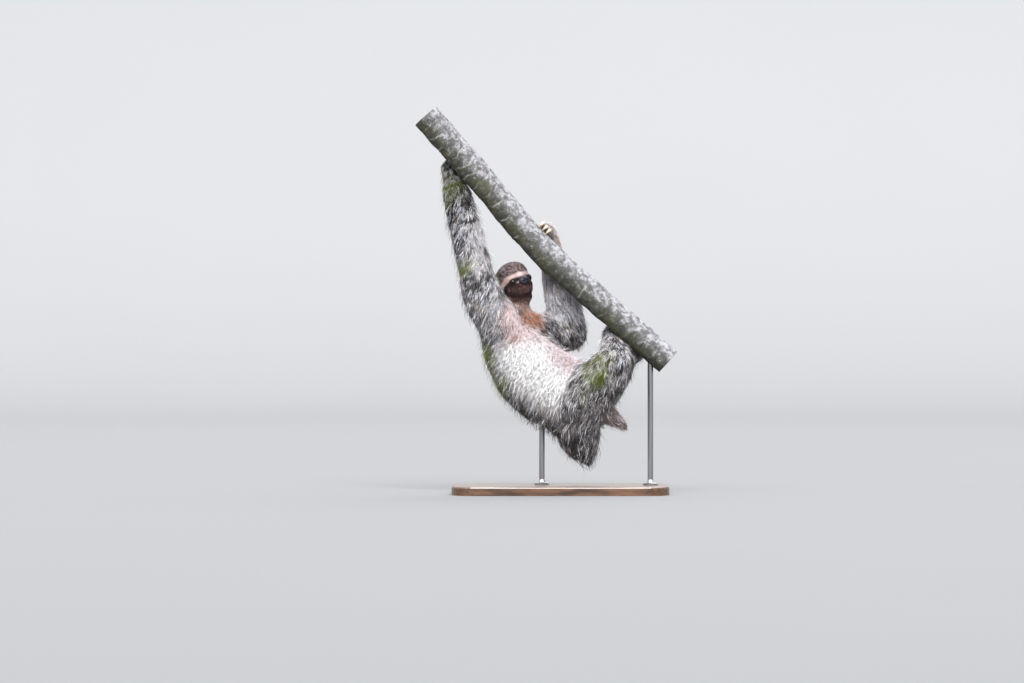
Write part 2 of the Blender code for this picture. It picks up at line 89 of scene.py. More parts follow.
# Axis pieces of the body: start, end, radius at each, coat depth, tuft length, tuft half
# width, tufts per unit of area, then the lie of the hair at the start and at the end.
Part = namedtuple("Part", "start end root_r end_r depth length half density lie_start lie_end")
BODY_PARTS = {
    "upper_arm_right": ((-0.152, -0.002, 0.424), (-0.208, -0.020, 0.550), 0.052, 0.047,
                        0.0130, 0.036, 0.00062, 1.0, (-0.30, -0.15, -0.90), (-0.45, -0.10, -0.80)),
    "forearm_right": ((-0.208, -0.020, 0.550), (-0.268, 0.022, 0.792), 0.046, 0.029,
                      0.0115, 0.032, 0.00060, 1.1, (-0.30, -0.10, -0.90), (-0.08, -0.15, -1.0)),
    "upper_arm_left": ((-0.074, 0.055, 0.418), (0.023, 0.078, 0.400), 0.046, 0.050,
                       0.0120, 0.030, 0.00058, 1.0, (0.40, 0.0, -0.90), (0.60, 0.0, -0.75)),
    "forearm_left": ((0.023, 0.078, 0.400), (-0.012, 0.060, 0.590), 0.050, 0.030,
                     0.0115, 0.030, 0.00058, 1.0, (0.45, 0.0, -0.90), (0.20, 0.0, -1.0)),
    "thigh_right": ((0.048, -0.004, 0.236), (0.134, -0.034, 0.325), 0.064, 0.048,
                    0.0150, 0.036, 0.00064, 1.0, (-0.30, -0.05, -0.95), (-0.40, -0.05, -0.90)),
    "shank_right": ((0.134, -0.034, 0.325), (0.142, 0.028, 0.394), 0.048, 0.034,
                    0.0110, 0.028, 0.00058, 1.1, (0.05, -0.10, -1.0), (0.05, -0.20, -1.0)),
    "thigh_left": ((0.074, 0.072, 0.240), (0.142, 0.100, 0.316), 0.064, 0.048,
                   0.0150, 0.036, 0.00064, 0.9, (-0.20, 0.05, -0.95), (-0.30, 0.10, -0.90)),
    "shank_left": ((0.142, 0.100, 0.316), (0.170, 0.072, 0.360), 0.046, 0.034,
                   0.0110, 0.028, 0.00058, 1.0, (0.05, 0.15, -1.0), (0.05, 0.20, -1.0)),
    "chest": ((-0.136, 0.026, 0.395), (-0.107, 0.026, 0.347), 0.070, 0.082,
              0.0150, 0.030, 0.00056, 1.1, (-0.10, 0.0, -1.0), (-0.40, 0.0, -0.92)),
    "belly": ((-0.107, 0.026, 0.347), (-0.028, 0.028, 0.268), 0.085, 0.084,
              0.0160, 0.032, 0.00056, 1.1, (-0.45, 0.0, -0.89), (-0.50, 0.0, -0.87)),
    "loin": ((-0.028, 0.028, 0.268), (0.056, 0.030, 0.208), 0.088, 0.070,
             0.0170, 0.038, 0.00062, 1.0, (-0.48, 0.0, -0.88), (-0.10, 0.0, -1.0)),
    "rump": ((0.046, 0.034, 0.160), (0.074, 0.036, 0.088), 0.058, 0.018,
             0.0210, 0.052, 0.00060, 1.5, (-0.05, 0.0, -1.0), (0.15, 0.0, -1.0)),
    "tail": ((0.099, 0.030, 0.211), (0.157, 0.030, 0.172), 0.026, 0.018,
             0.0105, 0.030, 0.00052, 1.6, (0.55, 0.0, -0.80), (0.60, 0.0, -0.80)),
    "neck": ((-0.113, 0.050, 0.496), (-0.122, 0.036, 0.432), 0.042, 0.054,
             0.0120, 0.019, 0.00048, 1.8, (0.05, 0.0, -1.0), (0.05, 0.0, -1.0)),
}
BODY_PARTS = {name: Part(*row) for name, row in BODY_PARTS.items()}
EXTREMITIES = {"hand_right": "forearm_right", "hand_left": "forearm_left",
               "foot_right": "shank_right", "foot_left": "shank_left"}

# Masses of the head: place (left, face, crown), half axes to the coat's tips, coat depth.
HEAD_MASSES = (
    ((0.0, -0.006, 0.006), (0.0470, 0.0460, 0.0480), 0.0080),
    ((0.0, -0.022, -0.012), (0.0430, 0.0350, 0.0430), 0.0110),
    ((0.0, 0.015, 0.0215), (0.0405, 0.0245, 0.0280), 0.0050),
    ((0.0, 0.010, -0.014), (0.0430, 0.0280, 0.0280), 0.0062),
    ((0.0, 0.031, -0.011), (0.0215, 0.0195, 0.0165), 0.0016),
    ((0.0, 0.024, -0.028), (0.0260, 0.0220, 0.0160), 0.0030),
    ((0.0, 0.004, -0.042), (0.0330, 0.0300, 0.0220), 0.0085),
)


def unit(v):
    v = np.asarray(v, float)
    return v / np.maximum(np.linalg.norm(v, axis=-1, keepdims=True), 1e-9)


def length(rows):
    return np.linalg.norm(rows, axis=1)


def bell(value):
    """1 at zero, falling away on both sides."""
    return np.exp(-value ** 2)


def head_axes():
    """Rows: the head's left side, its face direction and its crown direction."""
    level = np.array((math.sin(HEAD_YAW), -math.cos(HEAD_YAW), 0.0))
    up = np.array((0.0, 0.0, 1.0))
    face = level * math.cos(HEAD_PITCH) + up * math.sin(HEAD_PITCH)
    crown = up * math.cos(HEAD_PITCH) - level * math.sin(HEAD_PITCH)
    side = np.array((math.cos(HEAD_YAW), math.sin(HEAD_YAW), 0.0))
    left = side * math.cos(HEAD_ROLL) + crown * math.sin(HEAD_ROLL)
    crown = crown * math.cos(HEAD_ROLL) - side * math.sin(HEAD_ROLL)
    return np.array((left, face, crown))


HEAD_AXES = head_axes()


def from_head(local):
    return HEAD_CENTRE + np.asarray(local) @ HEAD_AXES


def to_head(points):
    return (points - HEAD_CENTRE) @ HEAD_AXES.T


def smooth(low, high, value):
    t = np.clip((value - low) / (high - low), 0.0, 1.0)
    return t * t * (3 - 2 * t)


def to_line(points, a, b):
    """How far from a to b each point lies, 0 to 1, and its offset from that line."""
    t = np.clip((points - a) @ (b - a) / ((b - a) @ (b - a)), 0.0, 1.0)
    return t, points - a - t[:, None] * (b - a)


def circle(count):
    """Angles evenly round a full turn."""
    return np.arange(count) * 2 * math.pi / count


def sphere(polar, angle):
    """Points of a unit sphere by their angle from its pole and round it."""
    return np.column_stack((np.sin(polar) * np.cos(angle), np.sin(polar) * np.sin(angle),
                            np.cos(polar)))


LATTICE_SIZE = 32
LATTICE = np.random.default_rng(NOISE_SEED).random((LATTICE_SIZE,) * 3)


def noise(points, size, shift=0.0):
    """Smooth noise from 0 to 1, with features about size across."""
    q = points / size + shift
    base = np.floor(q).astype(int)
    f = q - base
    f = f * f * (3 - 2 * f)
    total = np.zeros(len(points))
    for corner in range(8):
        step = np.array([corner >> k & 1 for k in range(3)])
        i = (base + step) % LATTICE_SIZE
        total += np.prod(np.where(step, f, 1 - f), axis=1) * LATTICE[i[:, 0], i[:, 1], i[:, 2]]
    return total


# ---------------------------------------------------------------- the body's parts as arrays
def add_feet():
    """The hands and feet, each from its limb's end to the middle of its own solid."""
    for name, limb in EXTREMITIES.items():
        low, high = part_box(name)
        limb = BODY_PARTS[limb]
        BODY_PARTS[name] = Part(limb.end, tuple((low + high) / 2), 0.028, 0.020, 0.0045, 0.013,
                                0.00045, 2.6, limb.lie_end, limb.lie_end)


add_feet()
NAMES = list(BODY_PARTS)
COLUMN = {name: k for k, name in enumerate(NAMES)}
START = np.array([BODY_PARTS[n].start for n in NAMES])
END = np.array([BODY_PARTS[n].end for n in NAMES])


def part_weights(points):
    """Share of each body part at each point, and how far along the part the point is."""
    weights = np.empty((len(points), len(NAMES)))
    alongs = np.empty_like(weights)
    for k, name in enumerate(NAMES):
        t, gap = to_line(points, START[k], END[k])
        radius = BODY_PARTS[name].root_r * (1 - t) + BODY_PARTS[name].end_r * t
        away = np.maximum(length(gap), 0.3 * radius)
        weights[:, k] = (radius / away) ** 6
        alongs[:, k] = t
    return weights / weights.sum(axis=1, keepdims=True), alongs


def part_values(weights, field):
    return weights @ np.array([getattr(BODY_PARTS[n], field) for n in NAMES], float)


# ---------------------------------------------------------------- the skin's field
class Field:
    """Signed distances on a grid, read back between its points."""

    def __init__(self, values, low):
        self.values = values
        self.low = low * VOXEL

    def at(self, points):
        q = (points - self.low) / VOXEL
        top = np.array(self.values.shape) - 1.001
        q = np.clip(q, 0.0, top)
        i = q.astype(int)
        f = q - i
        v = self.values
        x, y, z = i.T
        fx, fy, fz = f.T
        a = v[x, y, z] * (1 - fx) + v[x + 1, y, z] * fx
        b = v[x, y + 1, z] * (1 - fx) + v[x + 1, y + 1, z] * fx
        c = v[x, y, z + 1] * (1 - fx) + v[x + 1, y, z + 1] * fx
        d = v[x, y + 1, z + 1] * (1 - fx) + v[x + 1, y + 1, z + 1] * fx
        return (a * (1 - fy) + b * fy) * (1 - fz) + (c * (1 - fy) + d * fy) * fz


def slope(reader, points, step):
    """Unit direction in which a field grows."""
    grown = np.empty((len(points), 3))
    for k in range(3):
        move = np.zeros(3)
        move[k] = step
        grown[:, k] = reader(points + move) - reader(points - move)
    return unit(grown)


def ellipsoid(points, place, size):
    q = (points - np.array(place)) / size
    k0 = length(q)
    return k0 * (k0 - 1.0) / np.maximum(length(q / size), 1e-6)


def merge(a, b, soft):
    h = np.clip(0.5 + 0.5 * (b - a) / soft, 0.0, 1.0)
    return b + (a - b) * h - soft * h * (1 - h)


def spline(points, count):
    """Points along a Catmull-Rom curve through the points, evenly by its parameter."""
    ends = np.vstack((2 * points[0] - points[1], points, 2 * points[-1] - points[-2]))
    at = np.arange(count) / (count - 1) * (len(points) - 1)
    k = np.minimum(at.astype(int), len(points) - 2)
    t = (at - k)[:, None]
    a, b, c, d = ends[k], ends[k + 1], ends[k + 2], ends[k + 3]
    return 0.5 * (2 * b + (c - a) * t + (2 * a - 5 * b + 4 * c - d) * t * t
                  + (3 * b - 3 * c + d - a) * t ** 3)


AXIS = spline(BRANCH, 201)


def branch_frame(along):
    k = min(int(along * 200), 199)
    centre = AXIS[k] + (AXIS[k + 1] - AXIS[k]) * (along * 200 - k)
    down = unit(AXIS[k + 1] - AXIS[k])
    return centre, down, np.array((-down[2], 0.0, down[0]))


def spoke_at(over, turn):
    """The way out from the branch's middle, at an angle round it."""
    return np.array((0.0, math.cos(turn), 0.0)) + over * math.sin(turn)


def claw_root(grip, shift):
    """Middle of a claw's thick end, and the way that the claw leaves it."""
    along, first, _, lift = grip
    centre, down, over = branch_frame(along)
    turn = math.radians(first)
    reach = BRANCH_R + CLAW_GAP + CLAW_ROOT_R + lift
    ahead = over * math.cos(turn) - np.array((0.0, math.sin(turn), 0.0))
    return centre + down * shift + spoke_at(over, turn) * reach, ahead


GAZE = unit(np.array((0.46, 0.86, 0.10)))      # where the left eye looks, in the head's frame


def mouth_line(mirrored):
    """Height of the mouth in the head's frame, by the distance from its middle."""
    return -0.0245 + 0.0035 * (mirrored / 0.017) ** 2


def head_distance(points):
    """The head's bare form: skull to throat, the eyes' mounds and the mouth's crease."""
    q = to_head(points)
    found = None
    for place, size, depth in HEAD_MASSES:
        mass = ellipsoid(q, place, np.array(size) - depth)
        found = mass if found is None else merge(found, mass, 0.009)
    mirrored = np.abs(q[:, 0])
    folded = np.column_stack((mirrored, q[:, 1], q[:, 2]))
    mound = length(folded - (EYE_PLACE - GAZE * 0.0022)) - (EYE_R + 0.0010)
    found = merge(found, mound, 0.005)
    # the crease between the lips, rising to its corners
    line = mouth_line(mirrored)
    across = (q[:, 2] - line) / 0.0011
    reach = smooth(0.0225, 0.0185, mirrored) * smooth(0.012, 0.022, q[:, 1])
    found = found + 0.0015 * bell(across) * reach
    # the lips roll out a little on both sides of it
    lips = bell((np.abs(q[:, 2] - line) - 0.0030) / 0.0022)
    return found - 0.0006 * lips * reach


def vertices_of(obj):
    found = np.empty(len(obj.data.vertices) * 3, np.float32)
    obj.data.vertices.foreach_get("co", found)
    return found.reshape(-1, 3).astype(float)


def triangles_of(obj):
    """The corners of a mesh object's triangles, in rows of three."""
    obj.data.calc_loop_triangles()
    corners = np.empty(len(obj.data.loop_triangles) * 3, np.int32)
    obj.data.loop_triangles.foreach_get("vertices", corners)
    return corners.reshape(-1, 3)


def solids_as_field():
    """Signed distances from all solids of flesh together, with the gaps between them shut."""
    points, faces, count = [], [], 0
    for name in FLESH:
        points.append(vertices_of(NODES[name]).astype(np.float32))
        faces.append(triangles_of(NODES[name]) + count)
        count += len(points[-1])
    grid = vdb.createLinearTransform(voxelSize=VOXEL)
    shut = vdb.FloatGrid.createLevelSetFromPolygons(
        np.concatenate(points), triangles=np.concatenate(faces).astype(np.uint32),
        transform=grid, halfWidth=3.0)
    shell, triangles, quads = shut.convertToPolygons(isovalue=CLOSE)
    wide = vdb.FloatGrid.createLevelSetFromPolygons(
        shell, triangles=triangles, quads=quads, transform=grid, halfWidth=18.0)
    low, high = (np.array(corner) for corner in wide.evalActiveVoxelBoundingBox())
    values = np.empty(high - low + 1, np.float32)
    wide.copyToArray(values, ijk=tuple(int(k) for k in low))
    values += CLOSE
    for axis in range(3):
        for _ in range(2):
            values = (np.roll(values, 1, axis) + 2 * values + np.roll(values, -1, axis)) / 4
    return values, grid, low


def flesh_field():
    """Skin field of the whole body: the solids less the coat's depth, joined to the head."""
    values, grid, low = solids_as_field()
    near = np.abs(values) < SKIN_REACH
    place = (np.argwhere(near) + low) * VOXEL
    depth = part_values(part_weights(place)[0], "depth")
    from_centre = length(place - HEAD_CENTRE)
    depth += (0.016 - depth) * smooth(0.070, 0.050, from_centre)
    found = values[near] + depth
    close = from_centre < HEAD_REACH
    found[close] = merge(found[close], head_distance(place[close]), 0.010)
    # the ends of the toes, which the claws grow from
    for grip in GRIPS.values():
        for k in range(3):
            root, ahead = claw_root(grip, (k - 1) * CLAW_SPACING)
            around = length(place - (root - ahead * 0.0030))
            mine = around < 0.03
            found[mine] = merge(found[mine], around[mine] - CLAW_ROOT_R - 0.0008, 0.006)
    values[near] = found
    values[~near & (values > 0)] += 0.012
    return Field(values, low), grid, low


FLESH = [n for n in NODES if n.split("_")[0] in
         ("head", "neck", "trunk", "tail", "upper", "forearm", "hand", "thigh", "shank", "foot")]
SKIN_FIELD, GRID, GRID_LOW = flesh_field()


def skin_distance(points):
    """The skin's field, with the head's form at its full sharpness."""
    found = SKIN_FIELD.at(points)
    from_centre = length(points - HEAD_CENTRE)
    share = smooth(SHARP_REACH, 0.052, from_centre)
    close = share > 0
    sharp = head_distance(points[close])
    found[close] += (np.minimum(sharp, found[close]) - found[close]) * share[close]
    return found


# ---------------------------------------------------------------- meshes and materials
def build_mesh(name, points, sizes, corners):
    """A mesh object from arrays: points, sizes of the faces, and their corners in a row."""
    mesh = bpy.data.meshes.new(name)
    mesh.vertices.add(len(points))
    mesh.vertices.foreach_set("co", np.asarray(points, np.float32).ravel())
    mesh.loops.add(len(corners))
    mesh.loops.foreach_set("vertex_index", np.asarray(corners, np.int32))
    mesh.polygons.add(len(sizes))
    starts = np.concatenate(([0], np.cumsum(sizes)[:-1]))
    mesh.polygons.foreach_set("loop_start", starts.astype(np.int32))
    mesh.polygons.foreach_set("use_smooth", np.ones(len(sizes), bool))
    mesh.update(calc_edges=True)
    made = bpy.data.objects.new(name, mesh)
    bpy.context.scene.collection.objects.link(made)
    return made


def band(a, b, turns, flip=False):
    """Quads between two closed rings of points, whose first points are a and b."""
    ring = np.arange(turns)
    after = (ring + 1) % turns
    if flip:
        return np.column_stack((a + ring, b + ring, b + after, a + after))
    return np.column_stack((a + ring, a + after, b + after, b + ring))


def faces_mesh(name, points, faces):
    """A mesh object from points and arrays of faces, each array with faces of one size."""
    sizes = np.concatenate([np.full(len(rows), rows.shape[1]) for rows in faces])
    return build_mesh(name, points, sizes, np.concatenate([rows.ravel() for rows in faces]))


def paint(obj, name, values):
    """A colour (rows of three) or a number for each point of a mesh."""
    values = np.asarray(values)
    if values.ndim == 2:
        layer = obj.data.attributes.new(name, "FLOAT_COLOR", "POINT")
        rows = np.ones((len(values), 4), np.float32)
        rows[:, :3] = values
        layer.data.foreach_set("color", rows.ravel())
    else:
        layer = obj.data.attributes.new(name, "FLOAT", "POINT")
        layer.data.foreach_set("value", values.astype(np.float32))


def tint(red, green, blue):
    """Linear colour from a screen colour of 0 to 255."""
    value = np.array((red, green, blue)) / 255.0
    return np.where(value <= 0.04045, value / 12.92, ((value + 0.055) / 1.055) ** 2.4)


class Material:
    """A Principled material with a short way to add nodes to it."""

    def __init__(self, name, specular=0.5, **sockets):
        self.made = bpy.data.materials.new(name)
        self.made.use_nodes = True
        self.tree = self.made.node_tree
        self.shader = next(n for n in self.tree.nodes if n.type == "BSDF_PRINCIPLED")
        self.shader.inputs["Specular IOR Level"].default_value = specular
        for key, value in sockets.items():
            self.shader.inputs[key.replace("_", " ").title()].default_value = value

    def add(self, kind, inputs=None, out=0, **settings):
        made = self.tree.nodes.new("ShaderNode" + kind)
        for key, value in settings.items():
            setattr(made, key, value)
        for key, value in (inputs or {}).items():
            if isinstance(value, bpy.types.NodeSocket):
                self.tree.links.new(value, made.inputs[key])
            elif isinstance(value, (tuple, list, np.ndarray)) and len(value) == 3 \
                    and made.inputs[key].type == "RGBA":
                made.inputs[key].default_value = (*value, 1.0)
            else:
                made.inputs[key].default_value = value
        return made.outputs[out]

    def mix(self, share, a, b, blend="MIX"):
        return self.add("Mix", {0: share, 6: a, 7: b}, out=2, data_type="RGBA", blend_type=blend)

    def math(self, what, a, b=0.5):
        return self.add("Math", {0: a, 1: b}, operation=what)

    def ramp(self, value, low, high):
        return self.add("MapRange", {0: value, 1: low, 2: high}, interpolation_type="SMOOTHSTEP")

    def noise(self, scale, detail=3.0, stretch=(1.0, 1.0, 1.0), rough=0.5):
        place = self.add("TexCoord", out=3)
        place = self.add("Mapping", {0: place, 3: stretch})
        return self.add("TexNoise", {"Vector": place, "Scale": scale, "Detail": detail,
                                     "Roughness": rough})

    def attribute(self, name, out=2):
        return self.add("Attribute", out=out, attribute_name=name)

    def colour(self, socket):
        self.tree.links.new(socket, self.shader.inputs["Base Color"])

    def rough(self, socket):
        self.tree.links.new(socket, self.shader.inputs["Roughness"])

    def bump(self, height, distance, strength=1.0):
        made = self.add("Bump", {"Height": height, "Distance": distance, "Strength": strength})
        self.tree.links.new(made, self.shader.inputs["Normal"])

    def times(self, a, b):
        return self.math("MULTIPLY", a, b)

    def rough_between(self, value, low, high):
        self.rough(self.add("MapRange", {0: value, 3: low, 4: high}))

    def wear(self, obj):
        obj.data.materials.clear()
        obj.data.materials.append(self.made)


# ---------------------------------------------------------------- markings
FLANK, BACK = tint(170, 167, 172), tint(58, 59, 50)
BELLY, BELLY_EDGE = tint(254, 253, 254), tint(247, 222, 223)
ARM_HAIR, LEG_HAIR, RUMP_HAIR = tint(112, 109, 111), tint(112, 109, 110), tint(36, 37, 40)
# the left arm's grey is paler fur, made paler still with painted light where the branch shades it
LEFT_ARM_HAIR_AND_LIGHT, WRIST_DARK_HAIR = tint(214, 211, 219), tint(40, 42, 34)
ALGAE, CHEST_RUST, THROAT_HAIR = tint(112, 124, 32), tint(178, 112, 74), tint(138, 102, 94)
CROWN_HAIR, CROWN_GREEN = tint(88, 62, 60), tint(176, 172, 148)
BROW_HAIR, STRIPE_HAIR, CHEEK_HAIR = tint(242, 222, 220), tint(22, 11, 13), tint(66, 34, 32)
NAPE_HAIR = tint(112, 104, 98)
TAIL_HAIR, HAND_HAIR, FOOT_HAIR = tint(136, 116, 110), tint(190, 174, 169), tint(104, 100, 98)
BELLY_RIM, BROW_TAN = tint(214, 195, 200), tint(206, 156, 134)
WISP, SHADE = tint(238, 235, 240), tint(34, 32, 32)

BELLY_MIDDLE_Y = 0.028
TRUNK_AXIS = np.array([(-0.136, 0.395), (-0.107, 0.347), (-0.072, 0.301), (-0.028, 0.268),
                       (0.014, 0.243), (0.056, 0.208)])


def trunk_place(points):
    """How far down the trunk a point lies, 0 to 1, and how far to the back of its axis."""
    flat = points[:, (0, 2)]
    best = np.full(len(points), FAR)
    along = np.zeros(len(points))
    back = np.zeros(len(points))
    pieces = len(TRUNK_AXIS) - 1
    for k in range(pieces):
        a, b = TRUNK_AXIS[k], TRUNK_AXIS[k + 1]
        line = b - a
        t, gap = to_line(flat, a, b)
        away = length(gap)
        closer = away < best
        best[closer] = away[closer]
        along[closer] = (k + t[closer]) / pieces
        side = np.array((line[1], -line[0])) / np.linalg.norm(line)
        back[closer] = (gap @ side)[closer]
    return along, back


def patch(points, place, size):
    """A soft spot: 1 at its place and fading out at its half axes."""
    away = length((points - np.array(place)) / np.array(size))
    return smooth(1.25, 0.55, away)


def near_line(points, line, reach):
    """1 on a broken line of the face and fading out at reach from it, further in depth."""
    best = np.full(len(points), FAR)
    line = np.array(line) * FACE_SCALE
    for a, b in zip(line, line[1:]):
        gap = to_line(points * FACE_SCALE, a, b)[1]
        best = np.minimum(best, length(gap))
    return smooth(reach * 1.3, reach * 0.6, best)


FACE_SCALE = np.array((1.0, 0.8, 1.0))
BROW_LINE = ((0.0, 0.0385, 0.0128), (0.0120, 0.0385, 0.0124), (0.0230, 0.0340, 0.0116),
             (0.0350, 0.0200, 0.0084), (0.0387, 0.0057, 0.0018), (0.0402, -0.0020, -0.0065))
STRIPE_LINE = ((0.0140, 0.0400, 0.0010), (0.0245, 0.0360, -0.0030), (0.0340, 0.0290, -0.0030),
               (0.0380, 0.0130, -0.0070), (0.0400, 0.0090, -0.0170))
ALGAE_SPOTS = (         # place, half axes, strength
    ((-0.288, 0.000, 0.758), (0.036, 0.060, 0.046), 1.00),
    ((-0.262, -0.020, 0.772), (0.022, 0.030, 0.024), 0.50),
    ((-0.237, -0.030, 0.562), (0.026, 0.040, 0.022), 0.75),
    ((-0.184, 0.010, 0.335), (0.030, 0.070, 0.060), 0.80),
    ((-0.146, 0.010, 0.272), (0.034, 0.070, 0.038), 0.95),
    ((0.090, -0.060, 0.300), (0.034, 0.036, 0.036), 0.90),
    ((0.115, -0.060, 0.335), (0.022, 0.030, 0.022), 0.70),
    ((0.060, -0.040, 0.250), (0.030, 0.040, 0.020), 0.45),
    ((-0.150, 0.100, 0.300), (0.030, 0.040, 0.040), 0.60),
    ((0.110, 0.140, 0.300), (0.034, 0.036, 0.034), 0.60),
)
PALE_SPOTS = (          # place, half axes, strength
    ((-0.205, -0.060, 0.575), (0.030, 0.050, 0.036), 1.00),
    ((-0.172, -0.060, 0.447), (0.022, 0.050, 0.050), 0.85),
    ((-0.150, -0.060, 0.350), (0.022, 0.050, 0.040), 0.55),
    ((0.115, -0.040, 0.372), (0.026, 0.050, 0.026), 0.15),
    # painted light: the last row is a paler streak along the inner side of the right forearm,
    # where light falls
    ((-0.213, -0.040, 0.640), (0.017, 0.050, 0.062), 0.90),
)


CHEST_SPOTS = (         # place, half axes, strength, colour, grizzle
    ((-0.124, -0.045, 0.446), (0.034, 0.050, 0.060), 0.80, BELLY_EDGE, 0.35),
    ((-0.098, -0.045, 0.405), (0.036, 0.050, 0.036), 0.85, BELLY_EDGE, 0.25),
    ((-0.138, -0.040, 0.486), (0.017, 0.050, 0.036), 0.70, BELLY_EDGE, 0.35),
    ((-0.070, 0.010, 0.436), (0.044, 0.060, 0.034), 0.92, CHEST_RUST, 0.35),
    ((-0.116, -0.050, 0.386), (0.014, 0.050, 0.014), 0.60, CHEST_RUST, 0.60),
    ((-0.120, -0.060, 0.438), (0.010, 0.040, 0.010), 0.55, SHADE, 0.50),
    # painted shade: the edge between the right upper arm and the trunk is darkened
    ((-0.192, -0.030, 0.408), (0.020, 0.080, 0.046), 0.60, ARM_HAIR * 0.25, 0.90),
)
FACE_SPOTS = (          # place on each side of the face, half axes, colour
    ((0.0165, 0.0430, -0.0052), (0.0042, 0.012, 0.0040), BROW_HAIR),
    ((0.0370, 0.0190, -0.0160), (0.0045, 0.010, 0.0050), THROAT_HAIR),
)


class Hair:
    """Colour and grizzle of the hair at each point, with markings laid over it in turn."""

    def __init__(self, count):
        self.colour = np.tile(FLANK, (count, 1))
        self.grizzle = np.full(count, 0.85)

    def lay(self, share, other, rough=None):
        share = np.clip(share, 0.0, 1.0)[:, None]
        self.colour = self.colour + (other - self.colour) * share
        if rough is not None:
            self.grizzle = self.grizzle + (rough - self.grizzle) * share[:, 0]


def mark_limbs(hair, points, part, trunk, along):
    """Arms, legs, rump and feet, each with its own grey."""
    arms = part("upper_arm_right", "forearm_right", "upper_arm_left", "forearm_left")
    left_arm = part("upper_arm_left", "forearm_left")
    x, y, z = points.T
    hair.lay(arms, ARM_HAIR, 1.0)
    # the left arm's paler grey, partly painted light
    hair.lay(left_arm, LEFT_ARM_HAIR_AND_LIGHT, 0.80)
    # painted shade: the lower end of the left arm is darkened
    left_arm_low_shade = smooth(0.452, 0.405, z) * smooth(0.0, 0.025, y)
    hair.lay(left_arm_low_shade * left_arm, ARM_HAIR * 0.24, 0.8)
    hair.lay(part("forearm_right") * 0.95, ARM_HAIR * 0.26)
    hair.lay(part("thigh_right", "shank_right", "thigh_left", "shank_left"), LEG_HAIR, 1.0)
    hair.lay(part("shank_right") * 0.8, LEG_HAIR * 0.4)
    hair.lay(part("thigh_right") * smooth(0.070, 0.120, x) * 0.6, LEG_HAIR * 0.25)
    hair.lay(part("rump") + smooth(0.72, 0.95, along) * trunk * 0.8, RUMP_HAIR, 0.58)
    hair.lay(part("tail"), TAIL_HAIR, 0.5)
    hair.lay(part("hand_right", "hand_left", "foot_right", "foot_left"), FOOT_HAIR, 0.5)
    hair.lay(part("hand_left") * smooth(0.585, 0.615, z), HAND_HAIR, 0.3)
    # the lower part of the left hand takes the same grey, partly painted light
    hair.lay(part("hand_left") * smooth(0.605, 0.575, z), LEFT_ARM_HAIR_AND_LIGHT, 0.8)


def mark_trunk(hair, points, trunk, along, back, blotch):
    """A dark back, a white belly with a warmer rim, and its duller upper end."""
    edge = back + 0.018 * (blotch - 0.5)
    far = smooth(0.030, 0.095, points[:, 1])
    hair.lay(smooth(0.050, 0.080, edge) * trunk, BACK, 0.80)
    white = (smooth(0.078, 0.026, edge + 0.075 * far) * smooth(-0.05, 0.16, along)
             * smooth(0.96, 0.72, along))
    hair.lay(white * smooth(0.35, 0.75, trunk) * 0.97, BELLY, 0.10)
    rim = smooth(-0.026, -0.066, edge) * smooth(0.15, 0.4, trunk)
    hair.lay(rim * (0.90 - 0.70 * far), BELLY_RIM, 0.30)
    upper = smooth(0.350, 0.400, points[:, 2]) * smooth(0.35, 0.75, trunk)
    upper = upper * smooth(0.060, 0.030, edge) * (0.70 - 0.70 * far)
    hair.lay(upper, BELLY_EDGE * 0.74, 0.35)


def mark_spots(hair, points, part, blotch):
    """Pale, rusty and green spots, some painted light and shade, and darker upper forearm with
    painted shade.
    """
    for place, size, strength in PALE_SPOTS:
        hair.lay(patch(points, place, size) * strength * (0.5 + 0.5 * blotch), WISP, 0.7)
    # darker fur at the top of the right forearm
    wrist_dark_and_shade = smooth(0.700, 0.745, points[:, 2]) * part("forearm_right", "hand_right")
    hair.lay(wrist_dark_and_shade * 0.85, WRIST_DARK_HAIR, 0.5)
    for place, size, strength, colour, rough in CHEST_SPOTS:
        hair.lay(patch(points, place, size) * strength, colour, rough)
    mottled = smooth(0.30, 0.62, 0.5 * blotch + 0.5 * noise(points, 0.012, 9.7))
    for place, size, strength in ALGAE_SPOTS:
        share = patch(points, place, size) * strength * (0.45 + 0.55 * mottled)
        hair.lay(share, ALGAE, 0.35)
    # painted shade: the fur at the top of the right forearm is darkened again, over the algae
    hair.colour = hair.colour * (1 - 0.45 * wrist_dark_and_shade)[:, None]


def head_ball(q, inner, lift, tall):
    """1 inside the head and fading out beyond it, for points of its own frame."""
    return smooth(0.066, inner, length((q - (0, -0.004, lift)) / (1, 1, tall)))


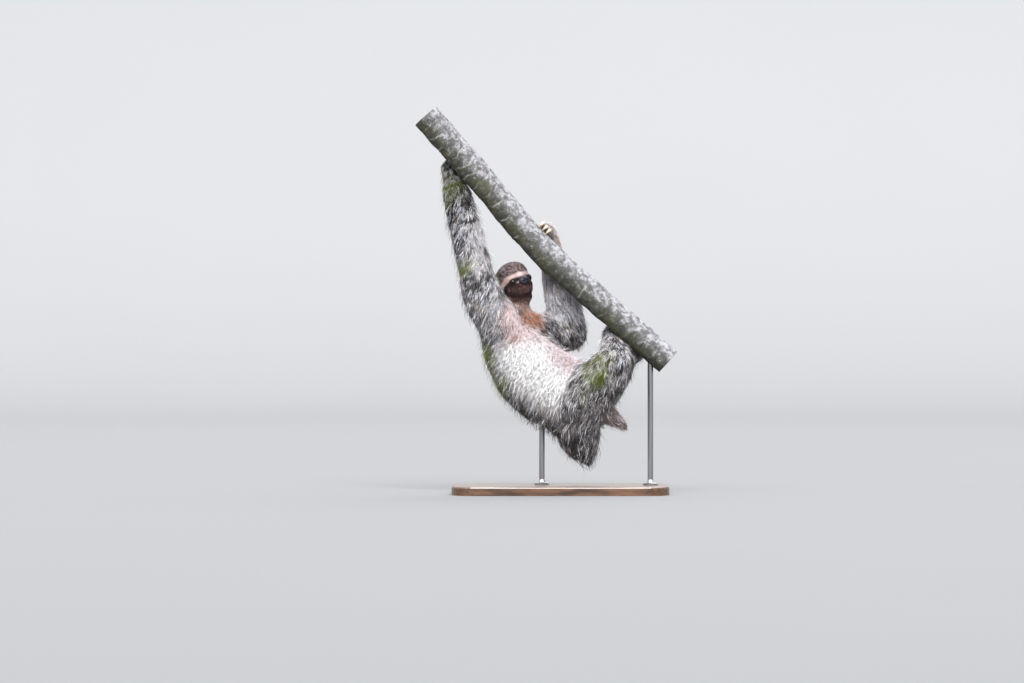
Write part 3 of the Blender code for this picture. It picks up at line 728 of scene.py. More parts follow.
def mark_head(hair, q, blotch):
    """The head in its own frame: crown, nape, throat, cheeks, pale brow and eye stripes."""
    x, y, z = q.T
    folded = np.column_stack((np.abs(x), y, z))
    head = head_ball(q, 0.050, -0.004, 1.15)
    hair.lay(head, CROWN_HAIR, 0.24)
    greenish = head * smooth(0.004, -0.026, x) * smooth(0.014, -0.004, y)
    hair.lay(greenish * (0.55 + 0.45 * blotch), CROWN_GREEN, 0.4)
    nape = head * smooth(-0.008, -0.032, y)
    hair.lay(nape * (0.5 + 0.5 * blotch), NAPE_HAIR, 0.75)
    throat = smooth(-0.026, -0.040, z) * smooth(0.095, 0.060, length(q))
    hair.lay(throat * smooth(-0.030, 0.0, y) * 0.95, THROAT_HAIR, 0.3)
    front = head * smooth(-0.004, 0.010, y) * smooth(0.010, -0.002, z)
    hair.lay(front * smooth(-0.057, -0.046, z), CHEEK_HAIR, 0.05)
    pale = near_line(folded, BROW_LINE, 0.0066)
    hair.lay(head * pale * 0.97, BROW_HAIR, 0.10)
    outward = smooth(0.012, 0.036, folded[:, 0])
    streak = smooth(0.35, 0.65, noise(folded, 0.0045, 2.3))
    tan = head * pale * (0.15 + 0.50 * outward) * (0.45 + 0.55 * streak)
    hair.lay(tan, BROW_TAN, 0.16)
    for place, size, colour in FACE_SPOTS:
        hair.lay(head * patch(folded, place, size) * 0.5, colour, 0.1)
    dark = near_line(folded, STRIPE_LINE, 0.0058)
    hair.lay(head * dark * 0.97, STRIPE_HAIR, 0.03)


def markings(points, weights):
    """Colour of the hair rooted at each point, and how grizzled it is."""
    def part(*names):
        return sum(weights[:, COLUMN[name]] for name in names)

    along, back = trunk_place(points)
    trunk = part("chest", "belly", "loin")
    blotch = noise(points, 0.045, 3.1)
    hair = Hair(len(points))
    mark_limbs(hair, points, part, trunk, along)
    mark_trunk(hair, points, trunk, along, back, blotch)
    mark_spots(hair, points, part, blotch)
    mark_head(hair, to_head(points), blotch)
    return hair.colour, hair.grizzle


# ---------------------------------------------------------------- the skin
def project(points, reader, rounds=3, step=0.0006):
    """Points moved on to the surface where a field is zero."""
    for _ in range(rounds):
        points = points - slope(reader, points, step) * reader(points)[:, None]
    return points


def largest_piece(quads, count):
    """The quads of the largest connected piece."""
    label = np.arange(count)
    while True:
        fresh = label.copy()
        np.minimum.at(fresh, quads.ravel(), np.repeat(label[quads].min(axis=1), 4))
        fresh = fresh[fresh]
        if np.array_equal(fresh, label):
            break
        label = fresh
    return quads[label[quads[:, 0]] == np.bincount(label[quads[:, 0]]).argmax()]


def skin_mesh():
    """Quads of the whole skin, made finer over the face."""
    level = vdb.FloatGrid(0.1)
    level.transform = GRID
    level.copyFromArray(SKIN_FIELD.values, ijk=tuple(int(k) for k in GRID_LOW))
    points, _, quads = level.convertToPolygons(isovalue=0.0)
    points = np.asarray(points, float)
    quads = largest_piece(np.asarray(quads, int)[:, ::-1], len(points))
    made = faces_mesh("skin", points, [quads])
    bm = bmesh.new()
    bm.from_mesh(made.data)
    loose = [v for v in bm.verts if not v.link_faces]
    bmesh.ops.delete(bm, geom=loose, context="VERTS")
    eyes = [Vector(from_head(EYE_PLACE * (s, 1, 1))) for s in (1, -1)]
    muzzle = Vector(from_head(MUZZLE_PLACE))
    for reach in FINE_REACHES:
        edges = [e for e in bm.edges if min((e.verts[0].co - muzzle).length,
                                            *((e.verts[0].co - c).length * 1.6 for c in eyes))
                 < reach]
        bmesh.ops.subdivide_edges(bm, edges=edges, cuts=1, use_grid_fill=True)
    bm.to_mesh(made.data)
    bm.free()
    place = vertices_of(made)
    close = length(place - HEAD_CENTRE) < SHARP_REACH
    place[close] = project(place[close], skin_distance)
    made.data.vertices.foreach_set("co", place.astype(np.float32).ravel())
    made.data.polygons.foreach_set("use_smooth", np.ones(len(made.data.polygons), bool))
    made.data.update()
    return made


SKIN = skin_mesh()


# ---------------------------------------------------------------- lids
def eye_frame(sign):
    """Rows: outward, upward and gaze axes of one eye, and its centre."""
    gaze = GAZE * (sign, 1, 1)
    across = unit(np.array((sign, 0.0, 0.0)) - gaze * gaze[0] * sign)
    upward = np.array((0.0, 0.0, 1.0))
    upward = unit(upward - gaze * gaze[2] - across * (upward @ across))
    rows = np.array((across, upward, gaze)) @ HEAD_AXES
    return rows, from_head(EYE_PLACE * (sign, 1, 1))


LID_WIDE, LID_UPPER, LID_LOWER = (math.radians(a) for a in (44.0, 25.0, 22.0))
LID_ROWS = (            # angle beyond the lid's rim in degrees, height over the eyeball
    (9.0, 0.00005), (2.5, 0.0001), (0.0, 0.00035), (1.5, 0.00085), (6.0, 0.00120),
    (11.0, 0.00095), (16.0, 0.00120), (24.0, 0.00150), (36.0, 0.00130), (52.0, 0.0002),
)


def lid_mesh(sign, turns=72):
    """A ring of skin round the eye: margin, lid, fold and brow of the socket."""
    rows, centre = eye_frame(sign)
    angle = circle(turns)
    tall = np.where(np.sin(angle) > 0, LID_UPPER, LID_LOWER)
    rim = 1.0 / np.sqrt((np.cos(angle) / LID_WIDE) ** 2 + (np.sin(angle) / tall) ** 2)
    points = [centre + sphere(rim + math.radians(beyond), angle) * (EYE_R + height) @ rows
              for beyond, height in LID_ROWS]
    faces = np.concatenate([band(k * turns, (k + 1) * turns, turns)
                            for k in range(len(LID_ROWS) - 1)])
    return faces_mesh("lid", np.concatenate(points), [faces if sign > 0 else faces[:, ::-1]])


def join_lids():
    lids = [lid_mesh(sign) for sign in (1, -1)]
    with bpy.context.temp_override(active_object=SKIN, object=SKIN, selected_objects=[SKIN, *lids],
                                   selected_editable_objects=[SKIN, *lids]):
        bpy.ops.object.join()


join_lids()


# ---------------------------------------------------------------- the coat
NOSE_TIP = np.array((0.0, 0.040, -0.007))


def head_share(points):
    return head_ball(to_head(points), 0.052, -0.002, 1.12)


def hair_plan(points):
    """The hair at each point: depth, length, half width, density, lie and the head's share."""
    weights, alongs = part_weights(points)
    depth, long, half, density = (part_values(weights, field) for field in
                                  ("depth", "length", "half", "density"))
    lie = np.zeros((len(points), 3))
    for k, name in enumerate(NAMES):
        first, last = np.array(BODY_PARTS[name].lie_start), np.array(BODY_PARTS[name].lie_end)
        lie += weights[:, k:k + 1] * (first + (last - first) * alongs[:, k:k + 1])
    head = head_share(points)
    q = to_head(points)
    crown = smooth(0.020, -0.016, q[:, 1]) * smooth(-0.060, -0.020, q[:, 2])
    crown = np.maximum(crown, smooth(0.022, 0.040, q[:, 2]))
    muzzle = patch(q, (0, 0.042, -0.012), (0.026, 0.022, 0.026))
    depth += (0.0032 + 0.0058 * crown - 0.0016 * muzzle - depth) * head
    long += (0.0075 + 0.0125 * crown - 0.0035 * muzzle - long) * head
    half += (0.00038 + 0.00020 * crown - 0.00006 * muzzle - half) * head
    density += (5.6 - 2.9 * crown + 1.5 * muzzle - density) * head
    away = unit(q - NOSE_TIP) @ HEAD_AXES
    drop = (0.25 + 0.9 * smooth(0.030, -0.020, q[:, 1]))[:, None]
    head_lie = away + np.array((0.0, 0.0, -1.0)) * drop
    lie += (head_lie - lie) * head[:, None]
    long += 0.012 * head * smooth(-0.010, -0.034, q[:, 1])
    return SimpleNamespace(depth=depth, length=long, half=half, density=density,
                           lie=unit(lie), weights=weights, head=head)


def branch_distance(points):
    """How far a point is from the branch's centre line."""
    best = np.full(len(points), FAR)
    for a, b in zip(AXIS[:-1:8], AXIS[8::8]):
        best = np.minimum(best, length(to_line(points, a, b)[1]))
    return best


def bare(points):
    """True where no hair grows: nose, lips, eyes, and skin that lies against the branch."""
    q = to_head(points)
    found = ellipsoid(q, NOSE_PLACE, NOSE_SIZE * 1.05) < 0
    mirrored = np.abs(q[:, 0])
    found |= (np.abs(q[:, 2] - mouth_line(mirrored)) < 0.0010) & (mirrored < 0.020) \
        & (q[:, 1] > 0.02)
    for sign in (1, -1):
        rows, centre = eye_frame(sign)
        local = (points - centre) @ rows.T
        away = length(local)
        polar = np.arccos(np.clip(local[:, 2] / np.maximum(away, 1e-6), -1, 1))
        found |= (away < EYE_R + 0.0032) & (polar < math.radians(54))
    return found | (branch_distance(points) < BRANCH_R + 0.0015)


def sample_roots(count):
    """Roots spread over the skin by the density of its hair."""
    place = vertices_of(SKIN)[triangles_of(SKIN)]
    edge_a, edge_b = place[:, 1] - place[:, 0], place[:, 2] - place[:, 0]
    area = length(np.cross(edge_a, edge_b)) / 2
    middle = place.mean(axis=1)
    share = np.cumsum(area * hair_plan(middle).density * ~bare(middle))
    pick = (np.arange(count) + RANDOM.random(count)) / count * share[-1]
    pick = np.minimum(np.searchsorted(share, pick), len(share) - 1)
    u, v = RANDOM.random(count), RANDOM.random(count)
    flip = u + v > 1
    u[flip], v[flip] = 1 - u[flip], 1 - v[flip]
    roots = place[pick, 0] + u[:, None] * edge_a[pick] + v[:, None] * edge_b[pick]
    return roots[~bare(roots)]


def comb(roots, hair, lie, bend, knots):
    """Points along each tuft: it leaves the skin, then lies along it at its own height."""
    path = [roots - slope(SKIN_FIELD.at, roots, VOXEL) * SINK]
    place, whole = roots, hair.length * hair.size
    for share, height, sag in knots:
        up = slope(SKIN_FIELD.at, place, VOXEL)
        way = lie + np.array((0.0, 0.0, -sag))
        flat = way - up * np.sum(way * up, axis=1)[:, None]
        size = length(flat)[:, None]
        way = unit(flat + way * smooth(0.5, 0.1, size) * 0.4)
        way = unit(way + np.cross(up, way) * (bend * height)[:, None])
        place = place + way * (whole * share)[:, None]
        up = slope(SKIN_FIELD.at, place, VOXEL)
        gap = height * hair.depth * hair.stand - SKIN_FIELD.at(place)
        keep = 1.0 - (1.0 - hair.hug) * height
        place = place + up * (np.clip(gap, -0.020, 0.020) * keep)[:, None]
        path.append(place)
    return np.array(path)


# Knots of a tuft: share of its length, height in the coat, sag.
LOCK_KNOTS = ((0.28, 0.42, 0.0), (0.38, 0.80, 0.10), (0.34, 1.0, 0.22))
WISP_KNOTS = ((0.48, 0.75, 0.05), (0.52, 1.0, 0.20))
# Kinds of tufts: how many, rings between root and tip, knots, spread of the lie, lift, size,
# bend, pull of the leaders, strength of the pale ones, width.
Kind = namedtuple("Kind", "count rings knots spread lift size bend pull pale wide")
KINDS = (Kind(LOCKS, 2, LOCK_KNOTS, 0.12, 0.0, 1.0, 0.12, 1.0, 0.85, 1.0),
         Kind(WISPS, 1, WISP_KNOTS, 0.30, 0.12, 0.80, 0.30, 0.45, 0.95, 0.62))


GATHERED = (0.10, 0.38, 0.70)   # pull at a tuft's lower, middle and upper knots


def gather(path, lead, pull):
    """Draws tufts towards the ones that lead their locks, most at their tips."""
    last = len(path) - 1
    for k in range(1, last + 1):
        at = k / last * (len(lead) - 1)
        low = min(int(at), len(lead) - 2)
        along = lead[low] + (lead[low + 1] - lead[low]) * (at - low)
        path[k] += (along - path[k]) * (GATHERED[round(2 * k / last)] * pull)[:, None]


# A tuft's shape by how many three-sided rings it has between its root and its tip.
RING_WIDTHS = {1: ((0, 1.0),), 2: ((0, 1.0), (1, 0.80))}


def tuft_faces(rings):
    """Face sizes and corners of one closed tuft."""
    tip = 1 + 3 * rings
    sizes, corners = [3, 3, 3], [0, 2, 1, 0, 3, 2, 0, 1, 3]
    for k in range(rings - 1):
        a, b = 1 + 3 * k, 4 + 3 * k
        sizes += [4, 4, 4]
        corners += [a, a + 1, b + 1, b, a + 1, a + 2, b + 2, b + 1, a + 2, a, b, b + 2]
    a = tip - 3
    sizes += [3, 3, 3]
    corners += [a, a + 1, tip, a + 1, a + 2, tip, a + 2, a, tip]
    return np.array(sizes), np.array(corners)


def tuft_places(rings):
    """Where a tuft's points lie in its own patch of the unwrap."""
    rows = [(0.0, -0.0015)]
    for k in range(rings):
        v = -0.0015 + 0.0030 * (k + 1) / (rings + 1)
        rows += [(-0.0012, v), (0.0012, v), (0.0, v)]
    return np.array(rows + [(0.0, 0.0015)])


def tuft_points(path, half, rings):
    """Points of each tuft: root, three-sided rings and tip."""
    points = np.empty((path.shape[1], 2 + 3 * rings, 3))
    points[:, 0] = path[0]
    points[:, -1] = path[-1]
    for k, wide in RING_WIDTHS[rings]:
        ahead = unit(path[k + 2] - path[k])
        up = slope(SKIN_FIELD.at, path[k + 1], VOXEL)
        side = unit(np.cross(ahead, up))
        up = np.cross(side, ahead)
        reach = (half * wide)[:, None]
        points[:, 1 + 3 * k] = path[k + 1] - side * reach - up * reach * 0.25
        points[:, 2 + 3 * k] = path[k + 1] + side * reach - up * reach * 0.25
        points[:, 3 + 3 * k] = path[k + 1] + up * reach * 0.55
    return points


# How bright each point of a tuft is, root through rings to tip: pale tips, and painted shade at
# the roots between locks.
SHADES = {1: np.array((0.40, 0.86, 0.86, 0.92, 1.16)),
          2: np.array((0.38, 0.70, 0.70, 0.76, 0.96, 0.96, 1.02, 1.18))}


def unwrap_cells(around, along):
    """A place of its own on the unwrap for each tuft, in the order of the skin's own shape."""
    count = len(around)
    columns = max(1, math.ceil(math.sqrt(count)))
    order = np.argsort(around, kind="stable")
    column = np.empty(count, int)
    column[order] = np.arange(count) * columns // count
    order = np.lexsort((along, column))
    first = np.searchsorted(column[order], np.arange(columns))
    rank = np.empty(count, int)
    rank[order] = np.arange(count) - first[column[order]]
    rows = rank.max() + 1
    return np.column_stack(((column + 0.5) / columns, (rank + 0.5) / rows))


GROUPS = {
    "arm_right": ("upper_arm_right", "forearm_right", "hand_right"),
    "arm_left": ("upper_arm_left", "forearm_left", "hand_left"),
    "leg_right": ("thigh_right", "shank_right", "foot_right"),
    "leg_left": ("thigh_left", "shank_left", "foot_left"),
    "body_right": ("chest", "belly", "loin"),
    "body_left": ("chest", "belly", "loin"),
    "rump": ("rump", "tail"),
    "head": ("neck",),
}
Tufts = namedtuple("Tufts", "rings points hue roots part head")


def lean(hair, spread):
    """The lie with a seeded tilt for each tuft, gentler on the head."""
    tilt = RANDOM.normal(size=hair.lie.shape) * (spread * (1 - 0.65 * hair.head))[:, None]
    return unit(hair.lie + tilt)


def bends(hair, strength):
    """A seeded sideways bend for each tuft, gentler on the head."""
    return RANDOM.normal(size=len(hair.head)) * strength * (1 - 0.7 * hair.head)


def sow(count):
    """Roots, and the hair that grows there with each tuft's own size and stand."""
    roots = sample_roots(count)
    hair = hair_plan(roots)
    hair.middle = roots + hair.lie * (hair.length * 0.5)[:, None]
    swirl = np.column_stack([noise(roots, 0.030, 5.0 + 7 * k) - 0.5 for k in range(3)])
    hair.lie = hair.lie + swirl * 0.55 * (1 - 0.6 * hair.head)[:, None]
    fringe = hair.weights[:, COLUMN["rump"]] + 0.6 * hair.weights[:, COLUMN["tail"]]
    hair.hug = 1.0 - 0.55 * np.clip(fringe, 0, 1)
    hair.size = 0.70 + 0.50 * RANDOM.random(len(roots))
    hair.stand = 0.50 + 0.55 * RANDOM.random(len(roots))
    by_face = length(roots - HEAD_CENTRE)
    wild = 0.045 * (1 - hair.head) * smooth(0.075, 0.115, by_face)
    hair.wild = RANDOM.random(len(roots)) < wild
    return roots, hair


def grow_leaders():
    """Paths that locks of tufts are gathered along, and a tree to find the nearest one."""
    roots, hair = sow(LEADERS)
    lie = lean(hair, 0.38)
    path = comb(roots, hair, lie, bends(hair, 0.22), LOCK_KNOTS)
    tree = KDTree(len(roots))
    for k, root in enumerate(roots):
        tree.insert(root, k)
    tree.balance()
    return path, tree


def grow(kind, lead_path, tree):
    """Tufts of one kind, gathered into the leaders' locks and coloured lock by lock."""
    roots, hair = sow(kind.count)
    colour, grizzle = markings(hair.middle, hair.weights)
    leaders = lead_path.shape[1]
    lock = np.array([tree.find(r)[1] for r in roots])
    hair.stand = np.where(hair.wild, hair.stand * 1.7 + 0.3, hair.stand + kind.lift)
    hair.size = np.where(hair.wild, hair.size * 1.15, hair.size) * kind.size
    bend = bends(hair, kind.bend)
    path = comb(roots, hair, lean(hair, kind.spread), bend, kind.knots)
    pull = (1.0 - 0.65 * hair.head) * (0.45 + 0.55 * RANDOM.random(leaders)[lock])
    gather(path, lead_path[:, lock], pull * np.where(hair.wild, 0.0, kind.pull))
    lock_shade = np.random.default_rng(SHADE_SEED).random(leaders)[lock]
    shade = 0.76 * lock_shade + 0.24 * RANDOM.random(len(roots))
    pale = smooth(0.50, 0.72, shade) * grizzle * kind.pale
    dim = smooth(0.48, 0.22, shade) * grizzle * 0.95
    colour = colour + (np.maximum(WISP, colour) - colour) * pale[:, None]
    colour = colour * (1 - dim[:, None] * 0.84)
    warm = (np.random.default_rng(WARMTH_SEED).random(leaders)[lock] - 0.5)[:, None]
    warm = warm * np.clip(grizzle * 1.3, 0.15, 1)[:, None]
    colour = colour * (1 + warm * np.array((0.16, 0.02, -0.16)))
    half = hair.half * (0.70 + 0.55 * RANDOM.random(len(roots))) * kind.wide
    # painted shade at the roots and paler tips, less on the white fur
    fade = (SHADES[kind.rings] - 1.0)[None] * (0.30 + 0.70 * np.clip(grizzle, 0, 1))[:, None]
    hue = np.clip(colour[:, None] * (1.0 + fade)[:, :, None], 0.0, 0.95)
    return Tufts(kind.rings, tuft_points(path, half, kind.rings), hue, roots,
                 hair.weights.argmax(axis=1), hair.head)


def pick(tufts, mask):
    """The tufts of one kind that a mask keeps."""
    return Tufts(tufts.rings, *(values[mask] for values in tufts[1:]))


def of_group(tufts, name):
    """The tufts that grow on one group of the body's parts."""
    mine = np.isin(tufts.part, [COLUMN[n] for n in GROUPS[name]]) & (tufts.head <= 0.5)
    if name == "head":
        mine |= tufts.head > 0.5
    if name.startswith("body"):
        mine &= (tufts.roots[:, 1] < BELLY_MIDDLE_Y) == (name == "body_right")
    return pick(tufts, mine)


def grow_coat(material):
    """The whole coat, each group cut by height into pieces below the limit."""
    leaders = grow_leaders()
    coat = [grow(kind, *leaders) for kind in KINDS]
    for name in GROUPS:
        kinds = [of_group(tufts, name) for tufts in coat]
        pieces = math.ceil(sum(len(tufts.roots) * 6 * tufts.rings for tufts in kinds)
                           / PIECE_LIMIT)
        levels = np.concatenate([tufts.roots[:, 2] for tufts in kinds])
        costs = np.concatenate([np.full(len(tufts.roots), tufts.rings) for tufts in kinds])
        order = np.argsort(levels, kind="stable")
        load = np.cumsum(costs[order]) / costs.sum()
        cuts = [levels[order][np.searchsorted(load, n / pieces)] for n in range(1, pieces)]
        for n, (low, high) in enumerate(zip([-FAR, *cuts], [*cuts, FAR]), 1):
            coat_piece(f"coat_{name}" + (f"_{n}" if pieces > 1 else ""),
                       [pick(tufts, (tufts.roots[:, 2] >= low) & (tufts.roots[:, 2] < high))
                        for tufts in kinds], material)


def coat_piece(title, kinds, material):
    """One piece of the coat, its tufts of both kinds joined into one mesh."""
    roots = np.concatenate([tufts.roots for tufts in kinds])
    part = np.concatenate([tufts.part for tufts in kinds])
    axis = unit(END - START)[part]
    off = roots - START[part]
    along = np.sum(off * axis, axis=1)
    spoke = off - axis * along[:, None]
    side = unit(np.cross(axis, (0.0, 1.0, 0.0)))
    around = np.arctan2(np.sum(spoke * side, axis=1), spoke[:, 1])
    cells = unwrap_cells(around, along + part * 0.5)
    points, sizes, corners, hues, places = [], [], [], [], []
    base = first = 0
    for tufts in kinds:
        count, each = tufts.points.shape[:2]
        own_sizes, own_corners = tuft_faces(tufts.rings)
        corners.append(np.tile(own_corners, count)
                       + np.repeat(np.arange(count) * each + base, len(own_corners)))
        sizes.append(np.tile(own_sizes, count))
        points.append(tufts.points.reshape(-1, 3))
        hues.append(tufts.hue.reshape(-1, 3))
        spots = cells[first:first + count, None] + tuft_places(tufts.rings)[None]
        places.append(spots.reshape(-1, 2))
        base += count * each
        first += count
    corners = np.concatenate(corners)
    obj = build_mesh(title, np.concatenate(points), np.concatenate(sizes), corners)
    paint(obj, "hue", np.concatenate(hues))
    layer = obj.data.uv_layers.new(name="OFBake")
    layer.data.foreach_set("uv", np.concatenate(places)[corners].astype(np.float32).ravel())
    material.wear(obj)
    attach(obj, "root")


def coat_material():
    m = Material("coat_hair", 0.07, roughness=0.80, sheen_weight=0.10, sheen_roughness=0.5)
    hair = m.attribute("hue", out=0)
    speckle = m.noise(420.0, 2.0)
    worn = m.mix(m.ramp(speckle, 0.35, 0.65), (0.88, 0.87, 0.86), (1.0, 1.0, 1.0))
    m.colour(m.mix(1.0, hair, worn, "MULTIPLY"))
    return m


def skin_material():
    m = Material("skin_and_underfur", 0.14, roughness=0.75)
    under = m.attribute("hue", out=0)
    nap = m.noise(900.0, 3.0, rough=0.6)
    m.colour(m.mix(1.0, under, m.mix(nap, (0.62, 0.60, 0.58), (1.12, 1.1, 1.08)), "MULTIPLY"))
    m.bump(nap, 0.0006, 0.7)
    return m


def finish_skin():
    place = vertices_of(SKIN)
    weights, _ = part_weights(place)
    colour, grizzle = markings(place, weights)
    head = head_share(place)
    q = to_head(place)
    under = 0.96 - 0.70 * np.clip(grizzle, 0, 1)
    under += (0.70 - under) * head * smooth(0.0, 0.03, q[:, 1])
    colour = colour * under[:, None]
    lids = np.zeros(len(place), bool)
    for sign in (1, -1):
        _, centre = eye_frame(sign)
        lids |= length(place - centre) < EYE_R + 0.0022
    colour[lids] = tint(24, 14, 15)
    mirrored = np.abs(q[:, 0])
    lips = smooth(0.0026, 0.0010, np.abs(q[:, 2] - mouth_line(mirrored)))
    lips *= smooth(0.0225, 0.0190, mirrored) * (q[:, 1] > 0.02)
    colour += (tint(104, 92, 96) - colour) * (lips * 0.8)[:, None]
    leather = smooth(0.0045, 0.0015, ellipsoid(q, NOSE_PLACE, NOSE_SIZE))
    colour += (tint(44, 30, 32) - colour) * (leather * 0.9)[:, None]
    paint(SKIN, "hue", colour)
    skin_material().wear(SKIN)
    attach(SKIN, "root")
    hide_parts(*FLESH)


# ---------------------------------------------------------------- eyes, nose and claws
PUPIL_RIM, IRIS_RIM = (12.0, 15.0), (36.0, 42.0)        # degrees from the middle of the gaze


def globe(title, polar_rows, turns, shape):
    """A closed surface round an axis: shape gives the points for arrays of both angles."""
    polar = np.linspace(0.0, math.pi, polar_rows)[1:-1]
    polar_grid, angle_grid = np.meshgrid(polar, circle(turns), indexing="ij")
    points = shape(np.concatenate(([0.0], polar_grid.ravel(), [math.pi])),
                   np.concatenate(([0.0], angle_grid.ravel(), [0.0])))
    ring = np.arange(turns)
    after = (ring + 1) % turns
    last = 1 + len(polar) * turns
    faces = [np.column_stack((np.zeros(turns, int), 1 + ring, 1 + after))]
    faces += [band(1 + k * turns, 1 + (k + 1) * turns, turns, flip=True)
              for k in range(len(polar) - 1)]
    low = last - turns
    faces.append(np.column_stack((low + ring, np.full(turns, last), low + after)))
    return faces_mesh(title, points, faces)


def make_eye(title, sign, node):
    """An eyeball with its bulging cornea, dark iris and round pupil."""
    rows, centre = eye_frame(sign)

    def shape(polar, angle):
        bulge = 0.00045 * smooth(math.radians(40), math.radians(18), polar)
        return centre + sphere(polar, angle) * (EYE_R - 0.00015 + bulge)[:, None] @ rows

    eye = globe(title, 48, 64, shape)
    place = (vertices_of(eye) - centre) @ rows.T
    polar = np.degrees(np.arctan2(length(place[:, :2]), place[:, 2]))
    paint(eye, "polar", polar)
    m = Material(title + "_look", 0.3, roughness=0.25, coat_weight=0.3, coat_roughness=0.05)
    around = m.attribute("polar")
    iris = m.mix(m.noise(2600.0, 2.0), tint(16, 9, 7), tint(44, 25, 16))
    white = m.mix(m.ramp(around, *IRIS_RIM), iris, tint(58, 40, 34))
    m.colour(m.mix(m.ramp(around, *PUPIL_RIM), (0.002, 0.002, 0.002), white))
    m.wear(eye)
    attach(eye, "root")
    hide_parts(node)


def make_nose():
    """The bare nose pad, with nostrils, a middle groove and pebbled leather."""
    size = NOSE_SIZE - 0.0002

    def shape(polar, angle):
        # the pole looks along the face
        local = sphere(polar, angle)[:, (0, 2, 1)]
        q = local * size
        mirrored = np.abs(q[:, 0])
        front = smooth(0.0, 0.5, local[:, 1])
        pit = np.exp(-(((mirrored - 0.0050) / 0.0021) ** 2
                       + ((q[:, 2] + 0.0018 - 0.25 * (mirrored - 0.005)) / 0.0015) ** 2))
        slit = np.exp(-(((mirrored - 0.0078) / 0.0022) ** 2
                        + ((q[:, 2] + 0.0012 - 0.5 * (mirrored - 0.0078)) / 0.0009) ** 2))
        groove = bell(mirrored / 0.0008) * smooth(0.001, -0.003, q[:, 2])
        wing = np.exp(-(((mirrored - 0.0062) / 0.0034) ** 2 + ((q[:, 2] - 0.0012) / 0.002) ** 2))
        pebble = noise(q, 0.0011, 3.0) - 0.5
        q[:, 1] += front * (-0.0030 * pit - 0.0012 * slit - 0.0007 * groove + 0.0007 * wing
                            + 0.00016 * pebble)
        return from_head(NOSE_PLACE + q)

    nose = globe("nose_pad", 72, 112, shape)
    q = to_head(vertices_of(nose)) - NOSE_PLACE
    mirrored = np.abs(q[:, 0])
    # painted shade: the nostril pits are coloured darker
    pit = np.exp(-(((mirrored - 0.0052) / 0.0024) ** 2 + ((q[:, 2] + 0.0016) / 0.0015) ** 2))
    paint(nose, "pit", pit * (q[:, 1] > 0))
    m = Material("nose_leather", 0.25, roughness=0.42, coat_weight=0.1, coat_roughness=0.3)
    grain = m.add("TexVoronoi", {"Vector": m.add("TexCoord", out=3), "Scale": 950.0})
    mottle = m.noise(260.0, 3.0)
    leather = m.mix(m.ramp(mottle, 0.35, 0.7), tint(13, 12, 19), tint(31, 29, 43))
    # the nostril pits darkened with painted shade
    m.colour(m.mix(m.attribute("pit"), leather, tint(12, 8, 10)))
    m.bump(grain, 0.0003, 0.6)
    m.rough_between(mottle, 0.34, 0.55)
    m.wear(nose)
    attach(nose, "root")
    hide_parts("nose")


CLAW_END, CLAW_WIDE = 0.93, 0.90        # where the tip rounds off; width for height


def claw_material():
    m = Material("horn", roughness=0.36, coat_weight=0.2, coat_roughness=0.3)
    tip = m.attribute("tip")
    streak = m.noise(160.0, 4.0, stretch=(1.0, 5.0, 1.0), rough=0.65)
    horn = m.mix(m.ramp(streak, 0.3, 0.7), tint(170, 152, 124), tint(206, 192, 166))
    horn = m.mix(m.ramp(tip, 0.45, 1.0), horn, tint(130, 106, 74))
    m.colour(m.mix(m.ramp(tip, 0.16, 0.0), horn, tint(128, 110, 94)))
    m.bump(streak, 0.0003, 0.4)
    m.rough_between(streak, 0.28, 0.5)
    return m


def make_claw(title, grip, shift, material, rings=34, sides=20):
    """A hooked claw: a tapering horn with a keel on its outer side and a rounded tip."""
    along, first, last, lift = grip
    centre, down, over = branch_frame(along)
    spin = circle(sides)
    keel = 1.0 + 0.10 * np.maximum(0, np.cos(spin)) ** 3
    points = []
    for t in np.arange(rings) / (rings - 1):
        radius = CLAW_ROOT_R + (CLAW_TIP_R - CLAW_ROOT_R) * t ** 1.3
        reach = BRANCH_R + CLAW_GAP + radius + lift * (1 - t) ** 1.2
        if t > CLAW_END:
            radius *= math.sqrt(max(0.02, 1 - ((t - CLAW_END) / (1 - CLAW_END)) ** 2))
        outward = spoke_at(over, math.radians(first + (last - first) * t))
        points.append(centre + down * shift + outward * reach
                      + radius * (np.cos(spin) * keel)[:, None] * outward
                      + radius * CLAW_WIDE * np.sin(spin)[:, None] * down)
    faces = [band(k * sides, (k + 1) * sides, sides) for k in range(rings - 1)]
    faces += [np.arange(sides)[None, ::-1], (rings - 1) * sides + np.arange(sides)[None]]
    obj = faces_mesh(title, np.concatenate(points), faces)
    paint(obj, "tip", np.repeat(np.arange(rings) / (rings - 1), sides))
    material.wear(obj)
    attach(obj, "root")
    return obj


def make_claws():
    material = claw_material()
    for foot, grip in GRIPS.items():
        for k in range(3):
            claw = make_claw(f"horn_{foot}_{k + 1}", grip, (k - 1) * CLAW_SPACING, material)
            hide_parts(f"claw_{foot}_{k + 1}")


# ---------------------------------------------------------------- the perch
SCARS = (               # where leaf scars ring the branch, along X, and how strong they are
    (-0.322, 0.7), (-0.300, 1.0), (-0.2780, 0.8), (-0.2560, 1.0), (-0.2360, 0.9),
    (-0.2150, 1.0), (-0.1960, 1.0), (-0.1750, 0.9), (-0.1530, 1.0), (-0.1250, 1.0),
    (-0.0930, 0.9), (-0.0380, 0.6), (0.0140, 0.5), (0.0570, 0.9), (0.1140, 0.5),
    (0.1750, 0.6), (0.2350, 0.5),
)
SCAR_BOW, SCAR_HEIGHT, SCAR_WIDTH = 0.0075, 0.0016, 0.0016


SAWN_RINGS = (0.93, 0.75, 0.50, 0.25, 0.06)     # of a cut end, by their share of its radius


